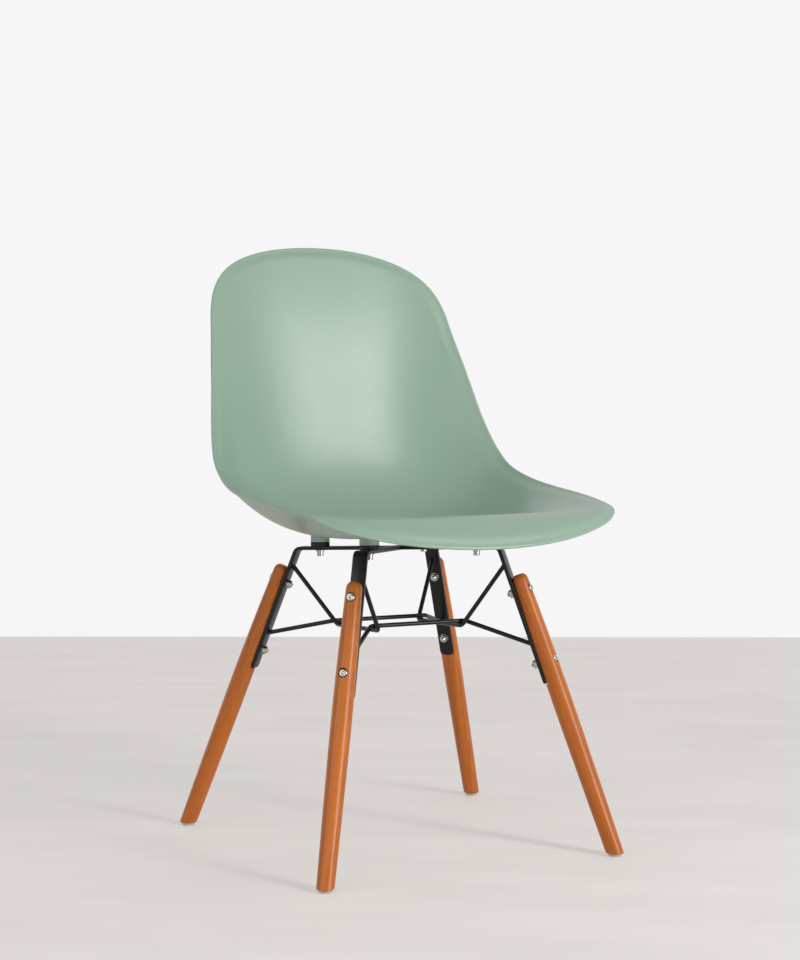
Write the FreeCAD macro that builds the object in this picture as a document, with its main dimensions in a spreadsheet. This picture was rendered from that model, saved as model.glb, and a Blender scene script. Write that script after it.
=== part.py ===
import FreeCAD
import Part
import Sketcher
import math
import os

# Side chair: a one-piece moulded shell on a crossed flat-bar frame, four bent wires and four
# round wooden legs. Millimetres, +Z up, front towards -Y, origin on the floor under the middle
# of the chair. Left and right are the sitter's: +X is left.

Vector = FreeCAD.Vector
Rotation = FreeCAD.Rotation
Placement = FreeCAD.Placement

SIZES = {
    # frame, measured in the plane of the crossed bars
    "frame_height": 398.8,          # floor to the middle of the crossing
    "frame_centre_y": -2.485,        # crossing, from the origin
    "frame_tilt": 2.6,              # degrees, front up
    "bar_angle": 45.9,              # degrees, each bar from the fore-and-aft line
    "bar_width": 20.0,
    "bar_thickness": 5.0,
    "bend_reach": 143.7,            # crossing to the corner of each bend
    "bend_radius": 7.0,             # inside of the bend
    "front_lean": 18.6,             # degrees, strap from the frame's upright
    "back_lean": 22.6,
    "strap_corner": 5.0,
    "bolt_reach": 111.4,            # crossing to each seat bolt
    "front_leg_drop": 42.75,         # bend corner to leg top, along the strap
    "back_leg_drop": 30.2,
    "weld_gap": 0.04,
    # legs
    "leg_offset": 12.0,             # strap's middle plane to leg axis
    "leg_top_radius": 10.6,
    "leg_upper_radius": 12.1,
    "leg_belly_radius": 13.3,
    "leg_lower_radius": 12.6,
    "leg_foot_radius": 11.15,
    "leg_crown_radius": 4.2,        # flat left on top by the rounding
    "leg_crown_drop": 9.0,
    "leg_upper_at": 70.0,           # down from the leg's top
    "leg_belly_at": 165.0,
    "leg_lower_at": 280.0,
    "leg_chamfer": 0.9,
    "recess_end_gap": 1.5,          # past the strap's end
    # leg screws
    "upper_screw_at": 21.6,         # down from the leg's top
    "screw_spacing": 99.0,
    "strap_past_screw": 28.4,       # lower screw to the strap's end
    "leg_screw_diameter": 6.0,
    "leg_head_diameter": 11.4,
    "leg_head_height": 3.2,
    "leg_head_edge": 1.1,
    "leg_head_crown": 6.0,          # flat top of the domed head
    "thread_end_bevel": 0.7,
    "leg_socket_flats": 4.0,
    "leg_socket_depth": 2.0,
    "counterbore_diameter": 13.2,
    "counterbore_floor": 8.5,      # leg axis to the floor of the counterbore
    "hole_clearance": 0.3,          # on the radius
    "leg_washer_diameter": 12.0,
    "leg_washer_thickness": 1.2,
    "leg_nut_flats": 10.0,
    "leg_nut_height": 5.0,
    "leg_screw_stickout": 2.5,
    # wires
    "wire_diameter": 6.0,
    "wire_bend_radius": 9.0,
    "front_upper_wire_at": 23.3,    # down the strap from the bend corner
    "back_upper_wire_at": 24.5,
    "front_lower_wire_at": 137.7,
    "back_lower_wire_at": 127.5,
    "side_ring_x": 62.4,
    "side_ring_y": 64.1,
    "side_ring_drop": 105.4,
    "cross_ring_x": 70.7,
    "cross_ring_y": 58.3,
    # seat fastening
    "boss_diameter": 26.0,
    "boss_sink": 2.0,               # of the boss into the wall over it
    "spacer_height": 6.0,
    "insert_diameter": 9.0,
    "insert_length": 10.0,
    "insert_recess": 0.4,
    "insert_end_gap": 1.2,
    "insert_flange_diameter": 11.0,
    "insert_flange_thickness": 1.0,
    "seat_bolt_diameter": 6.0,
    "seat_bolt_head_diameter": 9.0,
    "seat_bolt_head_height": 6.0,
    "seat_bolt_edge": 0.5,
    "seat_bolt_end_gap": 0.5,       # short of the insert's end
    "seat_socket_flats": 4.0,
    "seat_socket_depth": 3.0,
    "spring_washer_diameter": 10.4,
    "spring_washer_thickness": 1.4,
    "spring_washer_split": 1.2,
    "seat_washer_diameter": 13.0,
    "seat_washer_thickness": 1.2,
    "thread_clearance": 0.05,       # on the radius
    # glides
    "glide_diameter": 16.5,
    "glide_height": 4.0,
    "glide_edge": 1.0,
    "nail_diameter": 2.4,
    "nail_head_diameter": 6.0,
    "nail_head_thickness": 1.0,
    "nail_recess": 0.8,
    "nail_length": 16.0,
    "nail_point": 2.0,
    "nail_end_gap": 1.0,
    # shell: the sitter's side along the middle, in the frame's plane
    "shell_thickness": 4.5,
    "shell_start_y": -273.88,        # front edge, from the crossing
    "shell_start_z": 11.1,
    "shell_length": 840.0,          # front edge to top edge along the surface
    "front_slope": 46.9,            # degrees above the frame's plane, going back
    "front_roll": 107.0,
    "seat_slope": -8.3,
    "bend_start": 236.0,
    "bend_length": 382.0,
    "back_slope": 81.8,
    "top_start": 608.0,
    "top_slope": 73.6,
    "front_cap_length": 96.0,
    "front_cap_power": 2.1,
    "top_cap_length": 121.0,
    "top_cap_power": 2.26,
    "section_power": 3.1,
    "rim_flare": 2.6,
    "rim_band": 16.0,
    # half widths of the outline, front to top
    "half_width_front": 203.3,
    "half_width_thigh": 226.0,
    "half_width_seat": 231.5,
    "half_width_hip": 223.0,
    "half_width_waist": 216.7,
    "half_width_back": 197.3,
    "half_width_shoulder": 181.4,
    "half_width_top": 185.4,
    # rise of the sides over the middle, front to top
    "rise_front": -26.8,
    "rise_thigh": 12.7,
    "rise_seat": 50.3,
    "rise_hip": 81.2,
    "rise_waist": 80.6,
    "rise_back": 55.1,
    "rise_shoulder": 27.8,
    "rise_top": 27.0,
}
WIDTH_STATIONS = (0.0, 0.16, 0.32, 0.46, 0.60, 0.76, 0.90, 1.0)
RISE_STATIONS = (0.0, 0.12, 0.27, 0.42, 0.56, 0.72, 0.88, 1.0)
WIDTH_NAMES = ("front", "thigh", "seat", "hip", "waist", "back", "shoulder", "top")

doc = FreeCAD.newDocument("shell_chair")
sheet = doc.addObject("Spreadsheet::Sheet", "Sizes")
for row, (alias, number) in enumerate(SIZES.items(), start=1):
    sheet.set("A%d" % row, alias)
    sheet.set("B%d" % row, str(number))
    sheet.setAlias("B%d" % row, alias)
doc.recompute()


class Size:
    """A sheet value, or an arithmetic of sheet values, kept as a number and as an expression."""

    def __init__(self, number, text):
        self.number = number
        self.text = text

    def _join(self, other, sign, number):
        return Size(number, "(%s %s %s)" % (self.text, sign, as_size(other).text))

    def __add__(self, other):
        return self._join(other, "+", self.number + as_size(other).number)

    def __sub__(self, other):
        return self._join(other, "-", self.number - as_size(other).number)

    def __mul__(self, other):
        return self._join(other, "*", self.number * as_size(other).number)

    def __truediv__(self, other):
        return self._join(other, "/", self.number / as_size(other).number)

    def __radd__(self, other):
        return as_size(other) + self

    def __rsub__(self, other):
        return as_size(other) - self

    def __rmul__(self, other):
        return as_size(other) * self

    def __neg__(self):
        return as_size(0) - self


def as_size(value):
    return value if isinstance(value, Size) else Size(float(value), repr(float(value)))


def size(alias):
    return Size(float(sheet.get(alias)), "Sizes." + alias)


def value(alias):
    return float(sheet.get(alias))


def bind(obj, **properties):
    for name, wanted in properties.items():
        wanted = as_size(wanted)
        setattr(obj, name, wanted.number)
        obj.setExpression(name, wanted.text)
    return obj


# Places
frame_place = Placement(Vector(0, value("frame_centre_y"), value("frame_height")),
                        Rotation(Vector(1, 0, 0), -value("frame_tilt")))
CORNERS = {
    "front_right": (-1, -1), "front_left": (1, -1), "back_left": (1, 1), "back_right": (-1, 1),
}


def along_bar(corner):
    """Unit direction of the bar from the crossing to this corner, in the frame's plane."""
    side, end = CORNERS[corner]
    angle = math.radians(value("bar_angle"))
    return Vector(side * math.sin(angle), end * math.cos(angle), 0)


def strap_end_name(corner):
    return corner.split("_")[0]


def corner_place(corner):
    """Axes at the corner of the bend: X out through the strap, Z up along it."""
    out = along_bar(corner)
    lean = math.radians(value(strap_end_name(corner) + "_lean"))
    up = Vector(out) * -math.sin(lean) + Vector(0, 0, math.cos(lean))
    normal = Vector(out) * math.cos(lean) + Vector(0, 0, math.sin(lean))
    turn = Rotation(normal, up.cross(normal), up, "ZXY")
    return frame_place.multiply(Placement(Vector(out) * value("bend_reach"), turn))


def bolt_place(corner):
    """Axes on the bar's top face at a seat bolt, Z up through the boss."""
    reach = along_bar(corner) * value("bolt_reach")
    return frame_place.multiply(
        Placement(reach + Vector(0, 0, value("bar_thickness") / 2), Rotation()))


def shifted(place, x=0.0, y=0.0, z=0.0, turn=None):
    return place.multiply(Placement(Vector(x, y, z), turn or Rotation()))


def leg_top(corner):
    return value(strap_end_name(corner) + "_leg_drop")


def screw_depths(corner):
    upper = leg_top(corner) + value("upper_screw_at")
    return (upper, upper + value("screw_spacing"))


def strap_length(corner):
    return screw_depths(corner)[1] + value("strap_past_screw")


ALONG_X = Rotation(Vector(0, 1, 0), 90)     # turns +Z to +X


# Building blocks
def cylinder(name, radius, height, place):
    obj = doc.addObject("Part::Cylinder", name)
    bind(obj, Radius=radius, Height=height)
    obj.Placement = place
    return obj


def box(name, length, width, height, place):
    obj = doc.addObject("Part::Box", name)
    bind(obj, Length=length, Width=width, Height=height)
    obj.Placement = place
    return obj


def hexagon(name, flats, height, place):
    obj = doc.addObject("Part::Prism", name)
    obj.Polygon = 6
    bind(obj, Circumradius=flats / math.sqrt(3), Height=height)
    obj.Placement = place
    return obj


def together(name, objects):
    obj = doc.addObject("Part::Compound", name)
    obj.Links = objects
    return obj


def cut(name, base, tools):
    obj = doc.addObject("Part::Cut", name)
    obj.Base = base
    obj.Tool = tools[0] if len(tools) == 1 else together(name + "_tools", tools)
    return obj


def origin_plane(body, role):
    return [item for item in body.Origin.OriginFeatures if item.Role == role][0]


def outline_sketch(body, name, points, role="XZ_Plane"):
    """Closed outline through points given as sizes; each is held to the origin by its two
    distances, or lies on an axis where its distance is nothing."""
    sketch = body.newObject("Sketcher::SketchObject", name)
    sketch.AttachmentSupport = [(origin_plane(body, role), "")]
    sketch.MapMode = "FlatFace"
    points = [(as_size(a), as_size(b)) for a, b in points]
    count = len(points)
    for i, (a, b) in enumerate(points):
        c, d = points[(i + 1) % count]
        sketch.addGeometry(Part.LineSegment(Vector(a.number, b.number, 0),
                                            Vector(c.number, d.number, 0)), False)
    for i in range(count):
        sketch.addConstraint(Sketcher.Constraint("Coincident", i, 2, (i + 1) % count, 1))
    for i, (a, b) in enumerate(points):
        for kind, wanted, axis in (("DistanceX", a, -2), ("DistanceY", b, -1)):
            if abs(wanted.number) < 1e-9:
                sketch.addConstraint(Sketcher.Constraint("PointOnObject", i, 1, axis))
            else:
                index = sketch.addConstraint(
                    Sketcher.Constraint(kind, -1, 1, i, 1, wanted.number))
                sketch.setExpression("Constraints[%d]" % index, wanted.text)
    return sketch


def turned(name, points, place):
    """Solid of revolution about Z from an outline of (radius, height) points."""
    body = doc.addObject("PartDesign::Body", name)
    sketch = outline_sketch(body, name + "_outline", points)
    turn = body.newObject("PartDesign::Revolution", name + "_turn")
    turn.Profile = sketch
    turn.ReferenceAxis = (sketch, ["V_Axis"])
    turn.Angle = 360
    body.Placement = place
    doc.recompute()
    return body


nodes = {}


def keep(node, obj):
    obj.Label = node
    nodes[node] = obj
    return obj


# Shell surface
PROFILE_STEPS = 240


def ease(t):
    t = min(max(t, 0.0), 1.0)
    return t * t * t * (t * (6.0 * t - 15.0) + 10.0)


def profile_slope(along):
    """Slope of the middle line, in radians: front roll, seat, bend, back, top."""
    slope = value("front_slope")
    slope += (value("seat_slope") - value("front_slope")) * ease(along / value("front_roll"))
    slope += (value("back_slope") - value("seat_slope")) * ease(
        (along - value("bend_start")) / value("bend_length"))
    slope += (value("top_slope") - value("back_slope")) * ease(
        (along - value("top_start")) / (value("shell_length") - value("top_start")))
    return math.radians(slope)


step = value("shell_length") / PROFILE_STEPS
middle_line = [(value("shell_start_y"), value("shell_start_z"), profile_slope(0.0))]
for i in range(PROFILE_STEPS):
    y, z, before = middle_line[-1]
    after = profile_slope((i + 1) * step)
    y += step * (math.cos(before) + math.cos(after)) / 2
    z += step * (math.sin(before) + math.sin(after)) / 2
    middle_line.append((y, z, after))


def on_middle_line(along):
    t = min(max(along / step, 0.0), PROFILE_STEPS - 1e-9)
    i = int(t)
    return [a + (b - a) * (t - i) for a, b in zip(middle_line[i], middle_line[i + 1])]


def smooth_curve(stations, values, t):
    """Cubic curve through values at stations, its slopes taken from the neighbours."""
    last = len(stations) - 1
    t = min(max(t, 0.0), 1.0)
    i = max(k for k in range(last) if stations[k] <= t)

    def slope(k):
        if k == 0 or k == last:
            j = min(k, last - 1)
            return (values[j + 1] - values[j]) / (stations[j + 1] - stations[j])
        left, right = stations[k] - stations[k - 1], stations[k + 1] - stations[k]
        return ((values[k] - values[k - 1]) / left * right
                + (values[k + 1] - values[k]) / right * left) / (left + right)

    width = stations[i + 1] - stations[i]
    u = (t - stations[i]) / width
    return ((2 * u ** 3 - 3 * u ** 2 + 1) * values[i] + (u ** 3 - 2 * u ** 2 + u) * width * slope(i)
            + (3 * u ** 2 - 2 * u ** 3) * values[i + 1] + (u ** 3 - u ** 2) * width * slope(i + 1))


half_widths = [value("half_width_" + name) for name in WIDTH_NAMES]
rises = [value("rise_" + name) for name in WIDTH_NAMES]


def half_width(along):
    return smooth_curve(WIDTH_STATIONS, half_widths, along / value("shell_length"))


def surface_point(across, along, lift=0.0):
    """Point of the sitter's side, in the frame's plane, lifted off it towards the sitter."""
    y, z, slope = on_middle_line(along)
    rise = smooth_curve(RISE_STATIONS, rises, along / value("shell_length"))
    height = rise * abs(across / half_width(along)) ** value("section_power") + lift
    return Vector(across, y - math.sin(slope) * height, z + math.cos(slope) * height)


def surface_normal(across, along):
    side = surface_point(across + 0.5, along) - surface_point(across - 0.5, along)
    back = surface_point(across, along + 0.5) - surface_point(across, along - 0.5)
    return side.cross(back).normalize()


def half_outline():
    """Right half of the rim as (across, along), from the front edge's middle to the top's."""
    length = value("shell_length")
    points = []
    for i in range(49):
        turn = math.pi / 2 * i / 48
        power = 2 / value("front_cap_power")
        points.append((math.sin(turn) ** power,
                       value("front_cap_length") * (1 - math.cos(turn) ** power)))
    start, end = value("front_cap_length"), length - value("top_cap_length")
    for i in range(1, 60):
        points.append((1.0, start + (end - start) * i / 60))
    for i in range(49):
        turn = math.pi / 2 * (1 - i / 48)
        power = 2 / value("top_cap_power")
        points.append((math.sin(turn) ** power,
                       length - value("top_cap_length") * (1 - math.cos(turn) ** power)))
    return [(share * half_width(along), along) for share, along in points]


def spaced(points, count):
    """The same line as count + 1 points an even distance apart."""
    reach = [0.0]
    for a, b in zip(points, points[1:]):
        reach.append(reach[-1] + math.dist(a, b))
    found, k = [], 0
    for i in range(count + 1):
        wanted = reach[-1] * i / count
        while k < len(points) - 2 and reach[k + 1] < wanted:
            k += 1
        t = (wanted - reach[k]) / (reach[k + 1] - reach[k])
        found.append(tuple(p + (q - p) * t for p, q in zip(points[k], points[k + 1])))
    return found


RIM_COUNT = 400
right_rim = spaced(half_outline(), RIM_COUNT)
rim = [(-x, s) for x, s in reversed(right_rim[1:])] + right_rim[:-1]   # closed, top to top


def rim_at(place):
    place %= len(rim)
    (x0, s0), (x1, s1) = rim[int(place)], rim[(int(place) + 1) % len(rim)]
    t = place - int(place)
    return (x0 + (x1 - x0) * t, s0 + (s1 - s0) * t)


def rim_frame(index):
    """Point of the outline and its inward direction, both as (across, along)."""
    x, s = rim_at(index)
    (x0, s0), (x1, s1) = rim_at(index - 3), rim_at(index + 3)
    dx, ds = x1 - x0, s1 - s0
    scale = math.hypot(dx, ds)
    return (x, s), (-ds / scale, dx / scale)


def rim_section(index, inner):
    """Sections across the shell at one place of the rim: the underside outwards, the rounded
    edge, and the sitter's side inwards. inner is the (across, along) where they end."""
    thick = value("shell_thickness")
    (x, s), (ix, isd) = rim_frame(index)
    band = value("rim_band")
    lines = []
    for k in range(6):
        depth = band * (k / 5) ** 1.4
        sink = value("rim_flare") * (1 - ease(depth / band))
        lines.append((x + ix * depth, s + isd * depth, sink))
    bx, bs = lines[-1][0], lines[-1][1]
    for k in range(1, 8):
        t = k / 7
        lines.append((bx + (inner[0] - bx) * t, bs + (inner[1] - bs) * t, 0.0))
    top, under = [], []
    for a, b, sink in lines:
        normal = surface_normal(a, b)
        point = surface_point(a, b) - normal * sink
        top.append(point)
        under.append(point - normal * thick)
    normal = surface_normal(x, s)
    ahead = surface_point(*rim_at(index + 3)) - surface_point(*rim_at(index - 3))
    outward = ahead.cross(normal).normalize()
    centre = (top[0] + under[0]) / 2
    edge = []
    for k in range(1, 6):
        turn = math.pi * (k / 6 - 0.5)
        edge.append(centre + (outward * math.cos(turn) + normal * math.sin(turn)) * (thick / 2))
    return list(reversed(under)), [under[0]] + edge + [top[0]], top


def interpolated(points, places):
    curve = Part.BSplineCurve()
    curve.interpolate(Points=points, Parameters=places)
    return curve


def surface_face(grid, across_places, along_places):
    """Face through a grid of points. Faces with the same places along a shared border, and the
    same points, get the same border."""
    rows = [interpolated(line, along_places) for line in grid]
    lines = zip(*(row.getPoles() for row in rows))
    columns = [interpolated(list(line), across_places) for line in lines]
    poles = [list(line) for line in zip(*(column.getPoles() for column in columns))]
    surface = Part.BSplineSurface()
    surface.buildFromPolesMultsKnots(
        poles, columns[0].getMultiplicities(), rows[0].getMultiplicities(),
        columns[0].getKnots(), rows[0].getKnots(), False, False, 3, 3)
    return surface.toShape()


def running_length(line):
    lengths = [0.0]
    for a, b in zip(line, line[1:]):
        lengths.append(lengths[-1] + (b - a).Length)
    return lengths


# an ellipse in the middle of the developed surface parts the middle faces from the rim's
MIDDLE_ALONG, MIDDLE_HALF, MIDDLE_REACH = 0.48, 0.62, 0.335
FRONT_SHARE, TOP_SHARE = 0.18, 0.17     # of the half rim, to the corners between rim faces


def middle_point(p, q):
    """(across, along) of the square's point (p, q), each from -1 to 1, on the middle ellipse."""
    length = value("shell_length")
    return (MIDDLE_HALF * value("half_width_seat") * p * math.sqrt(1 - q * q / 2),
            length * (MIDDLE_ALONG + MIDDLE_REACH * q * math.sqrt(1 - p * p / 2)))


def make_shell_solid():
    count = 24
    steps = [-1 + 2 * i / count for i in range(count + 1)]
    faces = []
    for lift in (0.0, -value("shell_thickness")):
        grid = []
        for p in steps:
            line = []
            for q in steps:
                across, along = middle_point(p, q)
                line.append(surface_point(across, along) + surface_normal(across, along) * lift)
            grid.append(line)
        faces.append(surface_face(grid, steps, steps))
    # the rim goes from the top's middle down the right side, along the front and back up
    top, front = RIM_COUNT * TOP_SHARE, RIM_COUNT * FRONT_SHARE
    marks = [round(place) for place in (top, RIM_COUNT - front, RIM_COUNT + front,
                                        2 * RIM_COUNT - top, 2 * RIM_COUNT + top)]
    inner_lines = (lambda t: middle_point(-1, -t), lambda t: middle_point(t, -1),
                   lambda t: middle_point(1, t), lambda t: middle_point(-t, 1))
    places = None
    for start, end, inner in zip(marks, marks[1:], inner_lines):
        sections = [rim_section(start + (end - start) * i / count, inner(t))
                    for i, t in enumerate(steps)]
        if places is None:
            places = [running_length(line) for line in sections[0]]
        for strip, strip_places in enumerate(places):
            grid = [section[strip] for section in sections]
            faces.append(surface_face(grid, steps, strip_places))
    skin = Part.makeCompound(faces)
    skin.sewShape()
    solid = Part.makeSolid(skin.Shells[0] if skin.Shells else skin)
    if solid.Volume < 0:
        solid.reverse()
    return solid


def under_seat(across, y):
    """(across, along) of the underside's point at this distance fore and aft."""
    low, high = 0.0, value("bend_start") + value("bend_length") / 2
    for _ in range(40):
        middle = (low + high) / 2
        point = surface_point(across, middle) - surface_normal(across, middle) * value(
            "shell_thickness")
        low, high = (middle, high) if point.y < y else (low, middle)
    return across, (low + high) / 2


# Seat shell and its fastening
skin = doc.addObject("Part::Feature", "skin")
skin.Shape = make_shell_solid()
skin.Placement = frame_place

half_bar = size("bar_thickness") / 2
bosses, insert_holes, inserts = [], [], []
seat_bolts, spring_washers, seat_washers = [], [], []
for corner in CORNERS:
    place = bolt_place(corner)
    foot = along_bar(corner) * value("bolt_reach")
    where = under_seat(foot.x, foot.y)
    normal = surface_normal(*where)
    under = surface_point(*where) - normal * value("shell_thickness")
    rise = under.z - value("bar_thickness") / 2 - value("spacer_height")
    seat = shifted(place, z=value("spacer_height"))
    column = cylinder("boss_column_" + corner, size("boss_diameter") / 2,
                      size("boss_diameter") + rise, seat)
    upright = Vector(0, 1, 0).cross(normal).normalize()
    turn = Rotation(upright, normal.cross(upright), normal, "ZXY")
    slope = frame_place.multiply(Placement(under + normal * value("boss_sink"), turn))
    wide = size("boss_diameter") * 4
    waste = box("boss_waste_" + corner, wide, wide, wide / 2,
                shifted(slope, -wide.number / 2, -wide.number / 2))
    bosses.append(cut("boss_" + corner, column, [waste]))

    recess, flange = size("insert_recess"), size("insert_flange_thickness")
    bore = size("seat_bolt_diameter") / 2 + size("thread_clearance")
    insert_radius = size("insert_diameter") / 2
    flange_radius = size("insert_flange_diameter") / 2
    insert_holes.append(cylinder("flange_hole_" + corner, flange_radius, recess + flange, seat))
    insert_holes.append(cylinder("insert_hole_" + corner, insert_radius,
                                 recess + size("insert_length") + size("insert_end_gap"), seat))
    inserts.append(turned("insert_" + corner, [
        (bore, recess), (flange_radius, recess), (flange_radius, recess + flange),
        (insert_radius, recess + flange), (insert_radius, recess + size("insert_length")),
        (bore, recess + size("insert_length"))], seat))

    spacer = cut("spacer_" + corner,
                 cylinder("spacer_disc_" + corner, size("boss_diameter") / 2,
                          size("spacer_height"), place),
                 [cylinder("spacer_bore_" + corner,
                           size("seat_bolt_diameter") / 2 + size("hole_clearance"),
                           size("spacer_height"), place)])
    keep("rubber_spacer_" + corner, spacer)

    # flat washer, split washer and bolt head, from the bar's underside down
    below = shifted(place, z=-value("bar_thickness"))
    washer, spring = size("seat_washer_thickness"), size("spring_washer_thickness")
    shank = size("seat_bolt_diameter") / 2
    loose = shank + size("hole_clearance")
    seat_washers.append(turned("seat_washer_" + corner, [
        (loose, -washer), (size("seat_washer_diameter") / 2, -washer),
        (size("seat_washer_diameter") / 2, 0), (loose, 0)], below))
    ring = turned("spring_ring_" + corner, [
        (loose, -(washer + spring)), (size("spring_washer_diameter") / 2, -(washer + spring)),
        (size("spring_washer_diameter") / 2, -washer), (loose, -washer)], below)
    split = box("spring_split_" + corner, size("spring_washer_diameter"),
                size("spring_washer_split"), spring * 2,
                shifted(below, 0, -value("spring_washer_split") / 2,
                        -value("seat_washer_thickness") - 1.5 * value("spring_washer_thickness")))
    spring_washers.append(cut("spring_washer_" + corner, ring, [split]))
    head_top = washer + spring
    head_base = head_top + size("seat_bolt_head_height")
    head_radius = size("seat_bolt_head_diameter") / 2
    tip = (size("bar_thickness") + size("spacer_height") + size("insert_recess")
           + size("insert_length") - size("seat_bolt_end_gap"))
    edge, bevel = size("seat_bolt_edge"), size("thread_end_bevel")
    bolt = turned("bolt_turned_" + corner, [
        (0, -head_base), (head_radius - edge, -head_base), (head_radius, -head_base + edge),
        (head_radius, -head_top), (shank, -head_top), (shank, tip - bevel), (shank - bevel, tip),
        (0, tip)], below)
    socket = hexagon("bolt_socket_" + corner, size("seat_socket_flats"),
                     size("seat_socket_depth"), shifted(below, z=-head_base.number))
    seat_bolts.append(cut("seat_bolt_" + corner, bolt, [socket]))

fused = doc.addObject("Part::MultiFuse", "shell_with_bosses")
fused.Shapes = [skin] + bosses
keep("seat_shell", cut("seat_shell_drilled", fused, insert_holes))
keep("seat_inserts", together("insert_set", inserts))
keep("seat_bolts", together("seat_bolt_set", seat_bolts))
keep("seat_spring_washers", together("spring_washer_set", spring_washers))
keep("seat_washers", together("seat_washer_set", seat_washers))


# Crossed bars
def rounded_edges(points, radii):
    """Closed outline of lines and arcs through points, each corner with its radius."""
    count = len(points)
    starts, ends, arcs = [], [], []
    for i, (point, radius) in enumerate(zip(points, radii)):
        back = (points[i - 1] - point).normalize()
        ahead = (points[(i + 1) % count] - point).normalize()
        if radius <= 0:
            starts.append(point)
            ends.append(point)
            arcs.append(None)
            continue
        half = back.getAngle(ahead) / 2
        reach = radius / math.tan(half)
        middle = point + (back + ahead).normalize() * (radius / math.sin(half) - radius)
        starts.append(point + back * reach)
        ends.append(point + ahead * reach)
        arcs.append(Part.Arc(starts[-1], middle, ends[-1]))
    edges = []
    for i in range(count):
        if arcs[i]:
            edges.append(arcs[i])
        edges.append(Part.LineSegment(ends[i], starts[(i + 1) % count]))
    return edges


def bar_outline(front, back):
    """Side view of a bent bar, across along the bar towards its front end and up."""
    half, radius = value("bar_thickness") / 2, value("bend_radius")
    lower, upper = [], []
    for corner, sign in ((front, 1), (back, -1)):
        lean = math.radians(value(strap_end_name(corner) + "_lean"))
        down = Vector(sign * math.sin(lean), -math.cos(lean), 0)
        out = Vector(sign * math.cos(lean), math.sin(lean), 0)
        bend = Vector(sign * value("bend_reach"), 0, 0)
        end = bend + down * strap_length(corner)
        # where the strap's two faces meet the bar's two faces
        shift = half * math.tan((math.pi / 2 - lean) / 2)
        upper.append((bend + Vector(sign * shift, half, 0), end + out * half))
        lower.append((bend + Vector(-sign * shift, -half, 0), end - out * half))
    points = [upper[0][1], upper[0][0], upper[1][0], upper[1][1],
              lower[1][1], lower[1][0], lower[0][0], lower[0][1]]
    outer = radius + value("bar_thickness")
    return rounded_edges(points, (0, outer, outer, 0, 0, radius, radius, 0))


def bent_bar(name, front, back, lap_side):
    """Flat bar from the front strap's end to the back strap's, halved at the crossing."""
    body = doc.addObject("PartDesign::Body", name + "_bent")
    sketch = body.newObject("Sketcher::SketchObject", name + "_outline")
    sketch.AttachmentSupport = [(origin_plane(body, "XZ_Plane"), "")]
    sketch.MapMode = "FlatFace"
    sketch.addGeometry(bar_outline(front, back), False)
    pad = body.newObject("PartDesign::Pad", name + "_pad")
    pad.Profile = sketch
    pad.Midplane = True
    bind(pad, Length=size("bar_width"))
    forward = along_bar(front)
    body.Placement = frame_place.multiply(Placement(
        Vector(), Rotation(forward, Vector(0, 0, 1).cross(forward), Vector(0, 0, 1), "ZXY")))
    doc.recompute()

    # round the four corners of the two strap ends
    rounding = doc.addObject("Part::Fillet", name + "_rounded")
    rounding.Base = body
    picked = []
    for number, edge in enumerate(body.Shape.Edges, start=1):
        for corner in (front, back):
            local = corner_place(corner).inverse()
            ends = [local.multVec(vertex.Point) for vertex in edge.Vertexes]
            if (len(ends) == 2 and abs(ends[0].z - ends[1].z) < 1e-6
                    and abs(ends[0].z + strap_length(corner)) < 1e-6
                    and abs(ends[0].y - ends[1].y) < 1e-6):
                picked.append((number, value("strap_corner"), value("strap_corner")))
    rounding.Edges = picked
    assert len(picked) == 4

    tools = []
    for corner in (front, back):
        tools.append(cylinder(name + "_bolt_hole_" + corner,
                              size("seat_bolt_diameter") / 2 + size("hole_clearance"),
                              size("bar_thickness") + 2,
                              shifted(bolt_place(corner), z=-value("bar_thickness") - 1)))
        for label, depth in zip(("upper", "lower"), screw_depths(corner)):
            tools.append(cylinder("%s_%s_hole_%s" % (name, label, corner),
                                  size("leg_screw_diameter") / 2 + size("hole_clearance"),
                                  size("bar_thickness") + 2,
                                  shifted(corner_place(corner),
                                          x=-value("bar_thickness") / 2 - 1, z=-depth,
                                          turn=ALONG_X)))
    other = [c for c in CORNERS if c not in (front, back)][0]
    across = along_bar(other)
    lap = frame_place.multiply(Placement(
        Vector(), Rotation(across, Vector(0, 0, 1).cross(across), Vector(0, 0, 1), "ZXY")))
    wide = value("bar_width") / 2 + value("weld_gap")
    gap = value("weld_gap") / 2
    base = -gap if lap_side > 0 else -value("bar_thickness") / 2 - 1
    tools.append(box(name + "_lap", size("bar_width") * 3,
                     size("bar_width") + size("weld_gap") * 2,
                     half_bar + size("weld_gap") / 2 + 1,
                     shifted(lap, -1.5 * value("bar_width"), -wide, base)))
    return keep(name, cut(name + "_cut", rounding, tools))


bent_bar("frame_bar_upper", "front_right", "back_left", -1)
bent_bar("frame_bar_lower", "front_left", "back_right", 1)


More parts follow.
